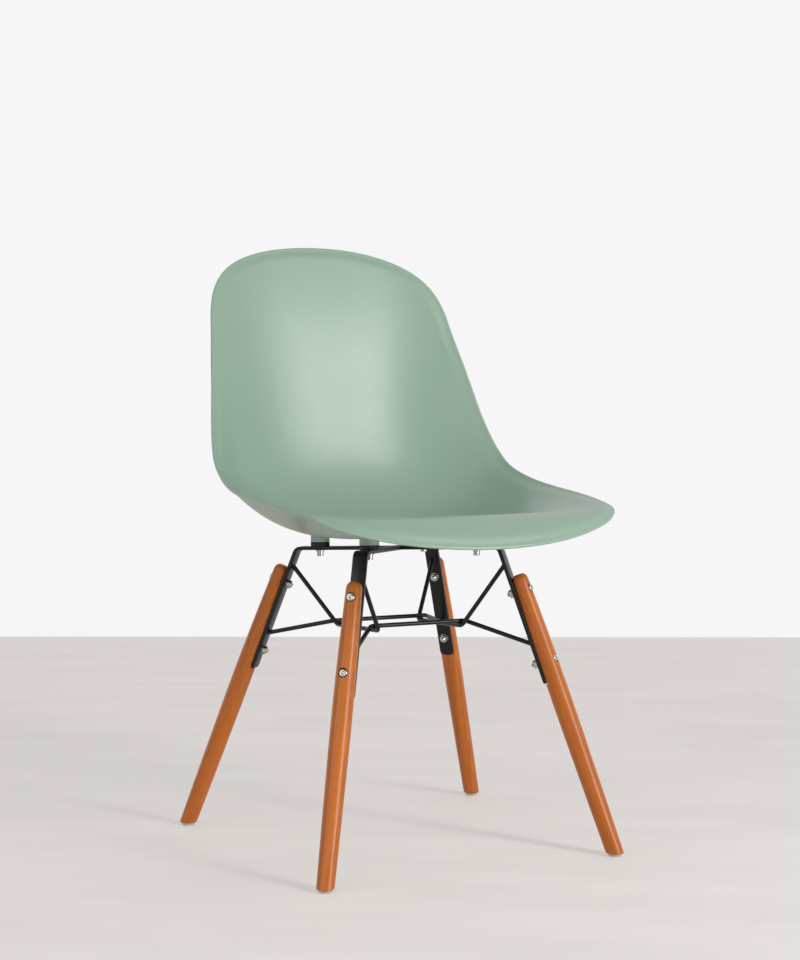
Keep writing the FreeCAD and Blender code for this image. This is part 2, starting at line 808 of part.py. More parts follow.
# Wires
def bent_wire(name, first, last, middle, depths):
    """Round wire from one strap over the ring's corners to another, welded on at both ends."""
    ends = []
    for corner, depth in zip((first, last), depths):
        ends.append(corner_place(corner).multVec(Vector(0, 0, -depth)))
    points = [ends[0]] + [frame_place.multVec(point) for point in middle] + [ends[1]]
    radius = value("wire_bend_radius")
    edges, start = [], points[0]
    for before, point, after in zip(points, points[1:], points[2:]):
        back, ahead = (before - point).normalize(), (after - point).normalize()
        half = back.getAngle(ahead) / 2
        reach = radius / math.tan(half)
        arc = Part.Arc(point + back * reach,
                       point + (back + ahead).normalize() * (radius / math.sin(half) - radius),
                       point + ahead * reach)
        edges += [Part.LineSegment(start, point + back * reach).toShape(), arc.toShape()]
        start = point + ahead * reach
    edges.append(Part.LineSegment(start, points[-1]).toShape())
    path = doc.addObject("Part::Feature", name + "_path")
    path.Shape = Part.Wire(edges)
    ring = doc.addObject("Part::Circle", name + "_section")
    bind(ring, Radius=size("wire_diameter") / 2)
    ring.Placement = Placement(points[0], Rotation(Vector(0, 0, 1), points[1] - points[0]))
    sweep = doc.addObject("Part::Sweep", name + "_sweep")
    sweep.Sections = [ring]
    sweep.Spine = (path, ["Edge%d" % (i + 1) for i in range(len(edges))])
    sweep.Solid = True
    trims = []
    side = size("wire_diameter") * 7
    for corner, depth in zip((first, last), depths):
        trims.append(box("%s_trim_%s" % (name, corner), side, side, side,
                         shifted(corner_place(corner),
                                 -value("bar_thickness") / 2 - value("weld_gap"),
                                 -side.number / 2, -depth - side.number / 2)))
    keep(name, cut(name + "_cut", sweep, trims))


side_drop = value("side_ring_drop")
cross_drop = side_drop - value("wire_diameter") - value("weld_gap")
for side, sign in (("right", -1), ("left", 1)):
    x, y = sign * value("side_ring_x"), value("side_ring_y")
    bent_wire("side_wire_" + side, "front_" + side, "back_" + side,
              [Vector(x, -y, -side_drop), Vector(x, y, -side_drop)],
              (value("front_upper_wire_at"), value("back_upper_wire_at")))
for end, sign in (("front", -1), ("back", 1)):
    x, y = value("cross_ring_x"), sign * value("cross_ring_y")
    bent_wire(end + "_wire", end + "_right", end + "_left",
              [Vector(-x, y, -cross_drop), Vector(x, y, -cross_drop)],
              (value(end + "_lower_wire_at"),) * 2)


# Legs, their screws and feet
def line(a, b):
    return Part.LineSegment(Vector(a[0], a[1], 0), Vector(b[0], b[1], 0))


def turned_leg(name, length, place):
    """Round leg from its top down, with a rounded crown and a belly below the strap."""
    crown = (value("leg_crown_radius"), 0.0)
    shoulder = (value("leg_top_radius"), -value("leg_crown_drop"))
    foot = (value("leg_foot_radius"), -length)
    bulge = Vector(crown[0] + (shoulder[0] - crown[0]) * 0.74, shoulder[1] * 0.30, 0)
    side = Part.BSplineCurve()
    side.interpolate([
        Vector(shoulder[0], shoulder[1], 0),
        Vector(value("leg_upper_radius"), -value("leg_upper_at"), 0),
        Vector(value("leg_belly_radius"), -value("leg_belly_at"), 0),
        Vector(value("leg_lower_radius"), -value("leg_lower_at"), 0),
        Vector(foot[0], foot[1], 0)])
    body = doc.addObject("PartDesign::Body", name)
    sketch = body.newObject("Sketcher::SketchObject", name + "_outline")
    sketch.AttachmentSupport = [(origin_plane(body, "XZ_Plane"), "")]
    sketch.MapMode = "FlatFace"
    sketch.addGeometry([
        line((0, 0), crown),
        Part.Arc(Vector(crown[0], crown[1], 0), bulge, Vector(shoulder[0], shoulder[1], 0)),
        side, line(foot, (0, foot[1])), line((0, foot[1]), (0, 0))], False)
    turn = body.newObject("PartDesign::Revolution", name + "_turn")
    turn.Profile = sketch
    turn.ReferenceAxis = (sketch, ["V_Axis"])
    turn.Angle = 360
    body.Placement = place
    doc.recompute()
    return body


for corner in CORNERS:
    place = corner_place(corner)
    top_place = shifted(place, x=value("leg_offset"), z=-leg_top(corner))
    axis = top_place.Rotation.multVec(Vector(0, 0, -1))
    top_point = top_place.Base
    foot_reach = (top_point.z - value("glide_height")) / -axis.z
    foot = top_point + axis * foot_reach
    spare = size("leg_belly_radius") * 2
    round_leg = turned_leg("leg_turned_" + corner, foot_reach + spare.number, top_place)

    screw = size("leg_screw_diameter") / 2
    loose = screw + size("hole_clearance")
    tools = [box("recess_" + corner, spare, spare * 2,
                 spare + size("recess_end_gap") + strap_length(corner) - leg_top(corner),
                 shifted(place, value("bar_thickness") / 2 - spare.number, -spare.number,
                         -strap_length(corner) - value("recess_end_gap"))),
             box("ground_" + corner, spare * 4, spare * 4, spare * 2,
                 Placement(Vector(foot.x - spare.number * 2, foot.y - spare.number * 2,
                                  value("glide_height") - spare.number * 2), Rotation())),
             cylinder("nail_hole_" + corner, size("nail_diameter") / 2 + size("thread_clearance"),
                      size("nail_recess") + size("nail_length") - size("glide_height")
                      + size("nail_end_gap"),
                      Placement(Vector(foot.x, foot.y, value("glide_height")), Rotation()))]
    screws, nuts, washers = [], [], []
    floor_at = size("leg_offset") + size("counterbore_floor")
    stack = floor_at + half_bar + size("leg_washer_thickness")
    for label, depth in zip(("upper", "lower"), screw_depths(corner)):
        tag = "%s_%s" % (corner, label)
        inner = shifted(place, x=-value("bar_thickness") / 2 - value("leg_washer_thickness")
                        - value("leg_nut_height"), z=-depth, turn=ALONG_X)
        seat = shifted(place, x=floor_at.number, z=-depth, turn=ALONG_X)
        head, tall = size("leg_head_diameter") / 2, size("leg_head_height")
        low, crown = size("leg_head_edge"), size("leg_head_crown") / 2
        bevel = size("thread_end_bevel")
        tools.append(cylinder("screw_hole_" + tag, loose, floor_at + tall,
                              shifted(seat, z=-floor_at.number)))
        tools.append(cylinder("counterbore_" + tag, size("counterbore_diameter") / 2, spare, seat))
        tip = stack + size("leg_nut_height") + size("leg_screw_stickout")
        pin = turned("screw_turned_" + tag, [
            (0, -tip), (screw - bevel, -tip), (screw, bevel - tip), (screw, 0), (head, 0),
            (head, low), (crown + (head - crown) * 0.81, low + (tall - low) * 0.42),
            (crown + (head - crown) * 0.44, low + (tall - low) * 0.78), (crown, tall),
            (0, tall)], seat)
        socket = hexagon("screw_socket_" + tag, size("leg_socket_flats"), tall,
                         shifted(seat, z=value("leg_head_height") - value("leg_socket_depth")))
        screws.append(cut("screw_" + tag, pin, [socket]))
        washers.append(turned("washer_" + tag, [
            (loose, 0), (size("leg_washer_diameter") / 2, 0),
            (size("leg_washer_diameter") / 2, size("leg_washer_thickness")),
            (loose, size("leg_washer_thickness"))], shifted(inner, z=value("leg_nut_height"))))
        block = hexagon("nut_block_" + tag, size("leg_nut_flats"), size("leg_nut_height"), inner)
        nuts.append(cut("nut_" + tag, block, [
            cylinder("nut_bore_" + tag, screw + size("thread_clearance"),
                     size("leg_nut_height"), inner)]))
    drilled = cut("leg_drilled_" + corner, round_leg, tools)
    doc.recompute()
    bevel = doc.addObject("Part::Chamfer", "leg_bevelled_" + corner)
    bevel.Base = drilled
    bevel.Edges = [(number, value("leg_chamfer"), value("leg_chamfer"))
                   for number, edge in enumerate(drilled.Shape.Edges, start=1)
                   if edge.BoundBox.ZLength < 1e-4 and edge.Length > value("leg_foot_radius") * 3
                   and abs(edge.BoundBox.ZMin - value("glide_height")) < 1e-4]
    keep("leg_" + corner, bevel)
    keep("leg_screws_" + corner, together("leg_screw_pair_" + corner, screws))
    keep("leg_nuts_" + corner, together("leg_nut_pair_" + corner, nuts))
    keep("leg_washers_" + corner, together("leg_washer_pair_" + corner, washers))

    stand = Placement(Vector(foot.x, foot.y, 0), Rotation())
    nail, nail_head = size("nail_diameter") / 2, size("nail_head_diameter") / 2
    sunk, thick = size("nail_recess"), size("nail_head_thickness")
    snug = size("thread_clearance")
    outer, edge_size = size("glide_diameter") / 2, size("glide_edge")
    keep("glide_" + corner, turned("glide_turned_" + corner, [
        (nail_head + snug, 0), (outer - edge_size, 0), (outer - edge_size * 0.3, edge_size * 0.3),
        (outer, edge_size), (outer, size("glide_height")), (nail + snug, size("glide_height")),
        (nail + snug, sunk + thick), (nail_head + snug, sunk + thick)], stand))
    keep("glide_nail_" + corner, turned("nail_turned_" + corner, [
        (0, sunk), (nail_head, sunk), (nail_head, sunk + thick), (nail, sunk + thick),
        (nail, sunk + size("nail_length") - size("nail_point")),
        (0, sunk + size("nail_length"))], stand))


# Check and write
doc.recompute()
for obj in doc.Objects:
    if "Invalid" in obj.State or "Error" in obj.State:
        raise RuntimeError("%s failed: %s" % (obj.Name, obj.State))
for node, obj in nodes.items():
    if obj.Shape.isNull() or not obj.Shape.isValid() or not obj.Shape.Solids:
        raise RuntimeError("%s has no valid solid" % node)
os.makedirs("parts", exist_ok=True)
for node, obj in nodes.items():
    obj.Shape.exportStep("parts/%s.step" % node)
    print(node, len(obj.Shape.Solids), round(obj.Shape.Volume, 1))
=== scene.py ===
import math

import bpy
import numpy as np
from mathutils import Matrix, Vector


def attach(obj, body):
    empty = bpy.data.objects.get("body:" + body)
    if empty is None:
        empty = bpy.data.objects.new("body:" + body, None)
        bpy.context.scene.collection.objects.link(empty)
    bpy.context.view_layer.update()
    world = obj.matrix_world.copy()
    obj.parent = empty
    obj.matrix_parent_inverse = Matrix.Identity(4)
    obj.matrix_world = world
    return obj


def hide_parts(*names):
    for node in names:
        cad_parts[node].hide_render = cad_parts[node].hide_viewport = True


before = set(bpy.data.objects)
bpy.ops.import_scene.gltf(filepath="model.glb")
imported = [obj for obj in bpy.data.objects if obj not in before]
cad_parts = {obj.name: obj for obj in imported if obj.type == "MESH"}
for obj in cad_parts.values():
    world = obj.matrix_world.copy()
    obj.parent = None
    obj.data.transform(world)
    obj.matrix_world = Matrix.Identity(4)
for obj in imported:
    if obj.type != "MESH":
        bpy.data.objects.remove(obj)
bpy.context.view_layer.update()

# Side chair: moulded shell, crossed flat bars with straps, four bent wires, four round legs.
# Sizes are millimetres and degrees here, and piece() puts every mesh into metres. +Z is up, the
# chair faces -Y, and left and right are the sitter's, so +X is left.
METRE = 0.001
BODY = "root"
CORNERS = {
    "front_right": (-1, -1), "front_left": (1, -1), "back_left": (1, 1), "back_right": (-1, 1),
}

FRAME = {
    "height": 398.8, "centre_y": -2.485, "tilt": 2.6, "bar_angle": 45.9,
    "bar_width": 20.0, "bar_thickness": 5.0, "bend_reach": 143.7, "bend_radius": 9.5,
    "front_lean": 18.6, "back_lean": 22.6, "strap_corner": 5.0, "bar_edge": 0.7,
    "bolt_reach": 111.4, "lap_gap": 0.04,
}
LEG = {
    "front_drop": 42.75, "back_drop": 30.2, "offset": 12.0, "crown": 4.2, "crown_drop": 9.0,
    "top": 10.6, "upper": 12.1, "upper_at": 70.0, "belly": 13.3, "belly_at": 165.0,
    "lower": 12.6, "lower_at": 280.0, "foot": 11.15, "foot_at": 408.0, "foot_bevel": 0.9,
    "recess_gap": 1.5, "screw_at": 21.6, "screw_spacing": 99.0, "strap_past_screw": 28.4,
    "bore_radius": 6.6, "bore_floor": 8.5, "ground": 4.0,
}
WIRE = {
    "radius": 3.0, "bend": 9.0, "front_upper": 23.3, "back_upper": 24.5,
    "front_lower": 137.7, "back_lower": 127.5, "side_x": 62.4, "side_y": 64.1,
    "side_drop": 105.4, "cross_x": 70.7, "cross_y": 58.3, "weld": 2.1,
}
SHELL = {
    "thickness": 4.5, "start_y": -273.88, "start_z": 11.1, "length": 840.0,
    "front_slope": 46.9, "front_roll": 107.0, "seat_slope": -8.3, "bend_start": 236.0,
    "bend_length": 382.0, "back_slope": 81.8, "top_start": 608.0, "top_slope": 73.6,
    "front_cap": 96.0, "front_power": 2.1, "top_cap": 121.0, "top_power": 2.26,
    "section_power": 3.1, "flare": 2.6, "band": 16.0,
}
WIDTH_AT = np.array([0.0, 0.16, 0.32, 0.46, 0.60, 0.76, 0.90, 1.0])
HALF_WIDTHS = np.array([203.3, 226.0, 231.5, 223.0, 216.7, 197.3, 181.4, 185.4])
RISE_AT = np.array([0.0, 0.12, 0.27, 0.42, 0.56, 0.72, 0.88, 1.0])
RISES = np.array([-26.8, 12.7, 50.3, 81.2, 80.6, 55.1, 27.8, 27.0])
BOSS = {"radius": 13.0, "fillet": 3.0, "spacer": 6.0, "hole": 5.5}


def unit(vectors):
    """Vectors divided by their lengths."""
    return vectors / np.linalg.norm(vectors, axis=-1, keepdims=True)


def angles(columns):
    """Even angles of a full turn, one for each column."""
    return np.linspace(0, 2 * math.pi, columns, endpoint=False)


def spokes(angle, side, other):
    """Unit vectors at these angles, turning from one direction towards the other."""
    return np.cos(angle)[..., None] * side + np.sin(angle)[..., None] * other


# Places

_tilt = math.radians(FRAME["tilt"])
FRAME_ORIGIN = np.array([0.0, FRAME["centre_y"], FRAME["height"]])
FRAME_AXES = np.array([
    [1.0, 0.0, 0.0],
    [0.0, math.cos(_tilt), -math.sin(_tilt)],
    [0.0, math.sin(_tilt), math.cos(_tilt)]])


def from_frame(points):
    """Points given from the crossing, in the tilted plane of the bars, in the chair's frame."""
    return FRAME_ORIGIN + np.asarray(points) @ FRAME_AXES


def bar_direction(corner):
    """Unit direction of the bar from the crossing to a corner, in the bars' plane."""
    side, end = CORNERS[corner]
    angle = math.radians(FRAME["bar_angle"])
    return np.array([side * math.sin(angle), end * math.cos(angle), 0.0])


def lean_of(corner):
    return math.radians(FRAME[corner.split("_")[0] + "_lean"])


def strap_place(corner):
    """Corner of the bend, and three rows: out through the strap, across it, up along it."""
    out, lean = bar_direction(corner), lean_of(corner)
    upright = np.array([0.0, 0.0, 1.0])
    up = upright * math.cos(lean) - out * math.sin(lean)
    normal = out * math.cos(lean) + upright * math.sin(lean)
    axes = np.stack([normal, np.cross(up, normal), up]) @ FRAME_AXES
    return from_frame(out * FRAME["bend_reach"]), axes


def on_strap(corner, points):
    """Points given as (out, across, up) from the bend's corner, in the chair's frame."""
    origin, axes = strap_place(corner)
    return origin + np.asarray(points) @ axes


def leg_drop(corner):
    return LEG[corner.split("_")[0] + "_drop"]


def screw_depths(corner):
    """Distances of the two leg screws down the strap from the bend's corner."""
    upper = leg_drop(corner) + LEG["screw_at"]
    return upper, upper + LEG["screw_spacing"]


def strap_length(corner):
    return screw_depths(corner)[1] + LEG["strap_past_screw"]


# Meshes

def surface(points, around=True, poles=True, ring=False):
    """Vertices and faces of a grid of points (rows, columns, 3). around joins the last column to
    the first, ring the last row to the first, and poles close both end rows with a fan each."""
    rows, columns = points.shape[:2]
    number = np.arange(rows * columns).reshape(rows, columns)
    if around:
        number = np.hstack([number, number[:, :1]])
    if ring:
        number = np.vstack([number, number[:1]])
    corners = (number[:-1, :-1], number[:-1, 1:], number[1:, 1:], number[1:, :-1])
    faces = [np.stack(corners, -1).reshape(-1, 4)]
    vertices = points.reshape(-1, 3)
    if poles and not ring:
        count = len(vertices)
        vertices = np.vstack([vertices, points[0].mean(0), points[-1].mean(0)])
        first, last = number[0], number[-1]
        faces.append(np.stack([first[1:], first[:-1], np.full(columns, count)], -1))
        faces.append(np.stack([last[:-1], last[1:], np.full(columns, count + 1)], -1))
    return vertices, faces


def outward(vertices, faces):
    """The same faces, turned round where the volume that they close comes out negative. The
    volume is a sixth of the sum of each triangle's triple product."""
    total = 0.0
    for block in faces:
        for second in range(1, block.shape[1] - 1):
            a, b, c = (vertices[block[:, k]] for k in (0, second, second + 1))
            total += np.einsum("ij,ij->i", a, np.cross(b, c)).sum()
    return [block[:, ::-1] for block in faces] if total < 0 else faces


def piece(name, surfaces, material, slot, *nodes, sharp=32.0):
    """One smooth-shaded object from closed surfaces, riding on the chair's body. Edges sharper
    than the given angle stay crisp. It stands for the CAD nodes named."""
    vertices, faces, start = [], [], 0
    for points, blocks in surfaces:
        for block in outward(points, blocks):
            faces += (block + start).tolist()
        vertices.append(points)
        start += len(points)
    mesh = bpy.data.meshes.new(name)
    mesh.from_pydata((np.vstack(vertices) * METRE).tolist(), [], faces)
    mesh.shade_smooth()
    mesh.set_sharp_from_angle(angle=math.radians(sharp))
    mesh.materials.append(material)
    made = bpy.data.objects.new(name, mesh)
    bpy.context.scene.collection.objects.link(made)
    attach(made, BODY)
    if nodes:
        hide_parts(*nodes)
    return made


def turned(profile, origin, axes, columns=48, ring=False):
    """Solid of revolution. profile rows are (distance along the axis, radius), where a radius may
    be an array with one value a column. axes[0] is the axis, and the other two turn round it."""
    round_about = spokes(angles(columns), axes[1], axes[2])
    along = np.array([row[0] for row in profile], float)
    radii = np.stack([np.broadcast_to(row[1], columns) for row in profile])
    points = origin + along[:, None, None] * axes[0] + radii[..., None] * round_about
    return surface(points, ring=ring)


def smooth_curve(stations, values, at):
    """Cubic curve through the values at their stations, its slope at each taken from the
    neighbours: the two chords' slopes, weighted by the other chord's width."""
    width = np.diff(stations)
    chord = np.diff(values) / width
    inner = (chord[:-1] * width[1:] + chord[1:] * width[:-1]) / (width[:-1] + width[1:])
    slopes = np.concatenate([chord[:1], inner, chord[-1:]])
    at = np.clip(at, stations[0], stations[-1])
    i = np.clip(np.searchsorted(stations, at, side="right") - 1, 0, len(width) - 1)
    u = (at - stations[i]) / width[i]
    return ((2 * u ** 3 - 3 * u ** 2 + 1) * values[i]
            + (u ** 3 - 2 * u ** 2 + u) * width[i] * slopes[i]
            + (3 * u ** 2 - 2 * u ** 3) * values[i + 1]
            + (u ** 3 - u ** 2) * width[i] * slopes[i + 1])


# Shell surface

def ease(t):
    """Smooth step from 0 to 1, level at both ends."""
    t = np.clip(t, 0.0, 1.0)
    return t ** 3 * (t * (6 * t - 15) + 10)


def profile_slope(along):
    """Slope of the shell's middle line: front roll, seat, bend, back and top, each eased in."""
    s = SHELL
    slope = s["front_slope"] + (s["seat_slope"] - s["front_slope"]) * ease(along / s["front_roll"])
    slope += (s["back_slope"] - s["seat_slope"]) * ease((along - s["bend_start"]) / s["bend_length"])
    slope += (s["top_slope"] - s["back_slope"]) * ease(
        (along - s["top_start"]) / (s["length"] - s["top_start"]))
    return np.radians(slope)


_along = np.linspace(0, SHELL["length"], 1201)
_slope = profile_slope(_along)


def _run(values, start):
    """Running integral of values over the middle line, by the trapezium rule."""
    steps = (values[1:] + values[:-1]) / 2 * np.diff(_along)
    return start + np.concatenate([[0.0], np.cumsum(steps)])


_middle_y = _run(np.cos(_slope), SHELL["start_y"])
_middle_z = _run(np.sin(_slope), SHELL["start_z"])


def half_width(along):
    return smooth_curve(WIDTH_AT, HALF_WIDTHS, along / SHELL["length"])


def seat_point(across, along):
    """Sitter's side of the shell from the crossing: the middle line at this distance along,
    raised square to it by the rise there times (across / half width) to the section's power."""
    slope = profile_slope(along)
    rise = smooth_curve(RISE_AT, RISES, along / SHELL["length"])
    height = rise * np.abs(across / half_width(along)) ** SHELL["section_power"]
    y = np.interp(along, _along, _middle_y) - np.sin(slope) * height
    z = np.interp(along, _along, _middle_z) + np.cos(slope) * height
    return np.stack([across, y, z], -1)


def seat_normal(across, along, step=0.5):
    """Unit normal towards the sitter, from the differences over a small step both ways."""
    side = seat_point(across + step, along) - seat_point(across - step, along)
    back = seat_point(across, along + step) - seat_point(across, along - step)
    return unit(np.cross(side, back))


def half_rim():
    """Outline's +X half from the front's middle to the top's, as (across, along): a rounded cap,
    a side that follows the half width, and another cap. In a cap the share of the half width is
    sin(t) ^ (2 / power) and the distance is 1 - cos(t) ^ (2 / power) of the cap's length."""
    turn = np.linspace(0, math.pi / 2, 160)
    caps = []
    for power, length in ((SHELL["front_power"], SHELL["front_cap"]),
                          (SHELL["top_power"], SHELL["top_cap"])):
        caps.append((np.sin(turn) ** (2 / power), length * (1 - np.cos(turn) ** (2 / power))))
    side = np.linspace(SHELL["front_cap"], SHELL["length"] - SHELL["top_cap"], 240)[1:-1]
    share = np.concatenate([caps[0][0], np.ones(len(side)), caps[1][0][::-1]])
    along = np.concatenate([caps[0][1], side, SHELL["length"] - caps[1][1][::-1]])
    return share * half_width(along), along


_rim_across, _rim_along = half_rim()
_rim_reach = np.concatenate(
    [[0.0], np.cumsum(np.hypot(np.diff(_rim_across), np.diff(_rim_along)))])
HALF_RIM = _rim_reach[-1]


def rim_point(reach):
    """(across, along) of the outline at a running distance from the front's middle, which goes
    up the +X side and comes down the -X side."""
    reach = np.mod(reach, 2 * HALF_RIM)
    folded = np.minimum(reach, 2 * HALF_RIM - reach)
    side = np.where(reach <= HALF_RIM, 1.0, -1.0)
    return np.stack([side * np.interp(folded, _rim_reach, _rim_across),
                     np.interp(folded, _rim_reach, _rim_along)], -1)


def rim_sections(reach, band_rows=9, edge_rows=9):
    """Rows of points over the rim, from the sitter's side outwards, round the edge and back under.
    Within the band the surface sinks by the flare, eased, and the edge is a half circle."""
    here = rim_point(reach)
    run = unit(rim_point(reach + 4.0) - rim_point(reach - 4.0))
    inward = np.stack([-run[:, 1], run[:, 0]], -1)
    depths = SHELL["band"] * np.linspace(1, 0, band_rows) ** 1.4
    upper, lower = [], []
    for depth in depths:
        across, along = (here + inward * depth).T
        normal = seat_normal(across, along)
        point = seat_point(across, along)
        point = point - normal * SHELL["flare"] * (1 - ease(depth / SHELL["band"]))
        upper.append(point)
        lower.append(point - normal * SHELL["thickness"])
    normal = seat_normal(*here.T)
    ahead = seat_point(*rim_point(reach + 4.0).T) - seat_point(*rim_point(reach - 4.0).T)
    out = unit(np.cross(ahead, normal))
    centre = (upper[-1] + lower[-1]) / 2
    turn = np.linspace(math.pi / 2, -math.pi / 2, edge_rows + 2)[1:-1]
    edge = [centre + (out * math.cos(t) + normal * math.sin(t)) * SHELL["thickness"] / 2
            for t in turn]
    return np.stack(upper + edge + lower[::-1])


def shell_surface(count=150, front_share=0.18, top_share=0.17):
    """Closed shell. The outline is parted at four corners; the field inside its band is filled by
    the sum of the two straight blends between opposite sides, less the blend of the corners; the
    band and the edge are rows round it; and the underside is the same field, a wall lower."""
    f, g = HALF_RIM * front_share, HALF_RIM * (1 - top_share)
    marks = [-f, f, g, 2 * HALF_RIM - g, 2 * HALF_RIM - f]
    reach = np.concatenate([np.linspace(a, b, count, endpoint=False)
                            for a, b in zip(marks, marks[1:])])
    here = rim_point(reach)
    run = unit(rim_point(reach + 4.0) - rim_point(reach - 4.0))
    loop = here + np.stack([-run[:, 1], run[:, 0]], -1) * SHELL["band"]
    loop = np.vstack([loop, loop[:1]])
    front, left = loop[:count + 1], loop[count:2 * count + 1]
    top, right = loop[2 * count:3 * count + 1][::-1], loop[3 * count:][::-1]
    u = np.linspace(0, 1, count + 1)[None, :, None]
    v = np.linspace(0, 1, count + 1)[:, None, None]
    field = ((1 - v) * front[None] + v * top[None] + (1 - u) * right[:, None] + u * left[:, None]
             - (1 - u) * (1 - v) * front[0] - u * (1 - v) * front[-1]
             - (1 - u) * v * top[0] - u * v * top[-1])
    upper = seat_point(field[..., 0], field[..., 1])
    lower = upper - seat_normal(field[..., 0], field[..., 1]) * SHELL["thickness"]
    rows = rim_sections(reach)[1:-1]

    size = (count + 1) ** 2
    grid = np.arange(size).reshape(count + 1, count + 1)
    border = np.concatenate([grid[0, :-1], grid[:-1, -1], grid[-1, :0:-1], grid[:0:-1, 0]])
    between = size + np.arange(rows.shape[0] * 4 * count).reshape(rows.shape[0], 4 * count)
    under = size + rows.shape[0] * 4 * count
    bands = np.vstack([border[None], between, border[None] + under])
    bands = np.hstack([bands, bands[:, :1]])
    quads = []
    for block, flip in ((grid, False), (grid + under, True), (bands, True)):
        faces = np.stack([block[:-1, :-1], block[:-1, 1:], block[1:, 1:], block[1:, :-1]], -1)
        faces = faces.reshape(-1, 4)
        quads.append(faces[:, ::-1] if flip else faces)
    vertices = np.vstack([upper.reshape(-1, 3), rows.reshape(-1, 3), lower.reshape(-1, 3)])
    return from_frame(vertices), quads


def underside_height(x, y):
    """Height of the shell's underside over the bars' plane at (x, y) from the crossing, found by
    halving the range of distances along the seat until the point's y agrees."""
    low = np.zeros_like(x)
    high = np.full_like(x, SHELL["bend_start"] + SHELL["bend_length"] / 2)
    for _ in range(30):
        middle = (low + high) / 2
        point = seat_point(x, middle) - seat_normal(x, middle) * SHELL["thickness"]
        short = point[..., 1] < y
        low, high = np.where(short, middle, low), np.where(short, high, middle)
    return point[..., 2]


def boss_surface(corner, columns=72):
    """Round boss from the spacer up to the shell's underside: a straight side, then a hollow
    quarter-round fillet that runs out along the underside, whose height it follows."""
    centre = bar_direction(corner) * FRAME["bolt_reach"]
    angle = angles(columns)
    foot = FRAME["bar_thickness"] / 2 + BOSS["spacer"]
    radius, fillet = BOSS["radius"], BOSS["fillet"]

    def ring(reach, drop=None, height=None):
        x, y = centre[0] + reach * np.cos(angle), centre[1] + reach * np.sin(angle)
        z = np.full(columns, height) if drop is None else underside_height(x, y) - drop
        return np.stack([x, y, z], -1)

    rows = [ring(BOSS["hole"], height=foot + 2.0), ring(BOSS["hole"], height=foot),
            ring(radius - 0.5, height=foot), ring(radius - 0.15, height=foot + 0.15),
            ring(radius, height=foot + 0.5)]
    for turn in np.linspace(0, math.pi / 2, 9):
        rows.append(ring(radius + fillet * (1 - math.cos(turn)), fillet * (1 - math.sin(turn))))
    rows.append(ring(radius + fillet, -2.0))
    return surface(from_frame(np.stack(rows)))


# Bars, wires and their welds

def arc_between(before, corner, after, radius, steps=10):
    """Points of the arc that rounds a corner of a path, tangent to both of its runs."""
    back, ahead = unit(before - corner), unit(after - corner)
    half = math.acos(float(back @ ahead)) / 2
    centre = corner + unit(back + ahead) * radius / math.sin(half)
    start = unit(corner + back * radius / math.tan(half) - centre)
    end = unit(corner + ahead * radius / math.tan(half) - centre)
    sweep = math.acos(float(np.clip(start @ end, -1, 1)))
    t = np.linspace(0, 1, steps)[:, None]
    return centre + radius * (start * np.sin((1 - t) * sweep) + end * np.sin(t * sweep)) / math.sin(
        sweep)


def flat_section(half_wide, low, high, edge, steps=4):
    """Rounded oblong as (across, up) points, one row for each value of the arrays given."""
    quarter = np.linspace(0, math.pi / 2, steps)
    turn = np.concatenate([quarter + k * math.pi / 2 for k in range(4)])
    side = np.repeat([1, -1, -1, 1], steps)
    top = np.repeat([1, 1, -1, -1], steps)
    across = side * (half_wide[:, None] - edge) + edge * np.cos(turn)
    middle, half = (low + high) / 2, (high - low) / 2
    up = middle[:, None] + top * (half[:, None] - edge) + edge * np.sin(turn)
    return across, up


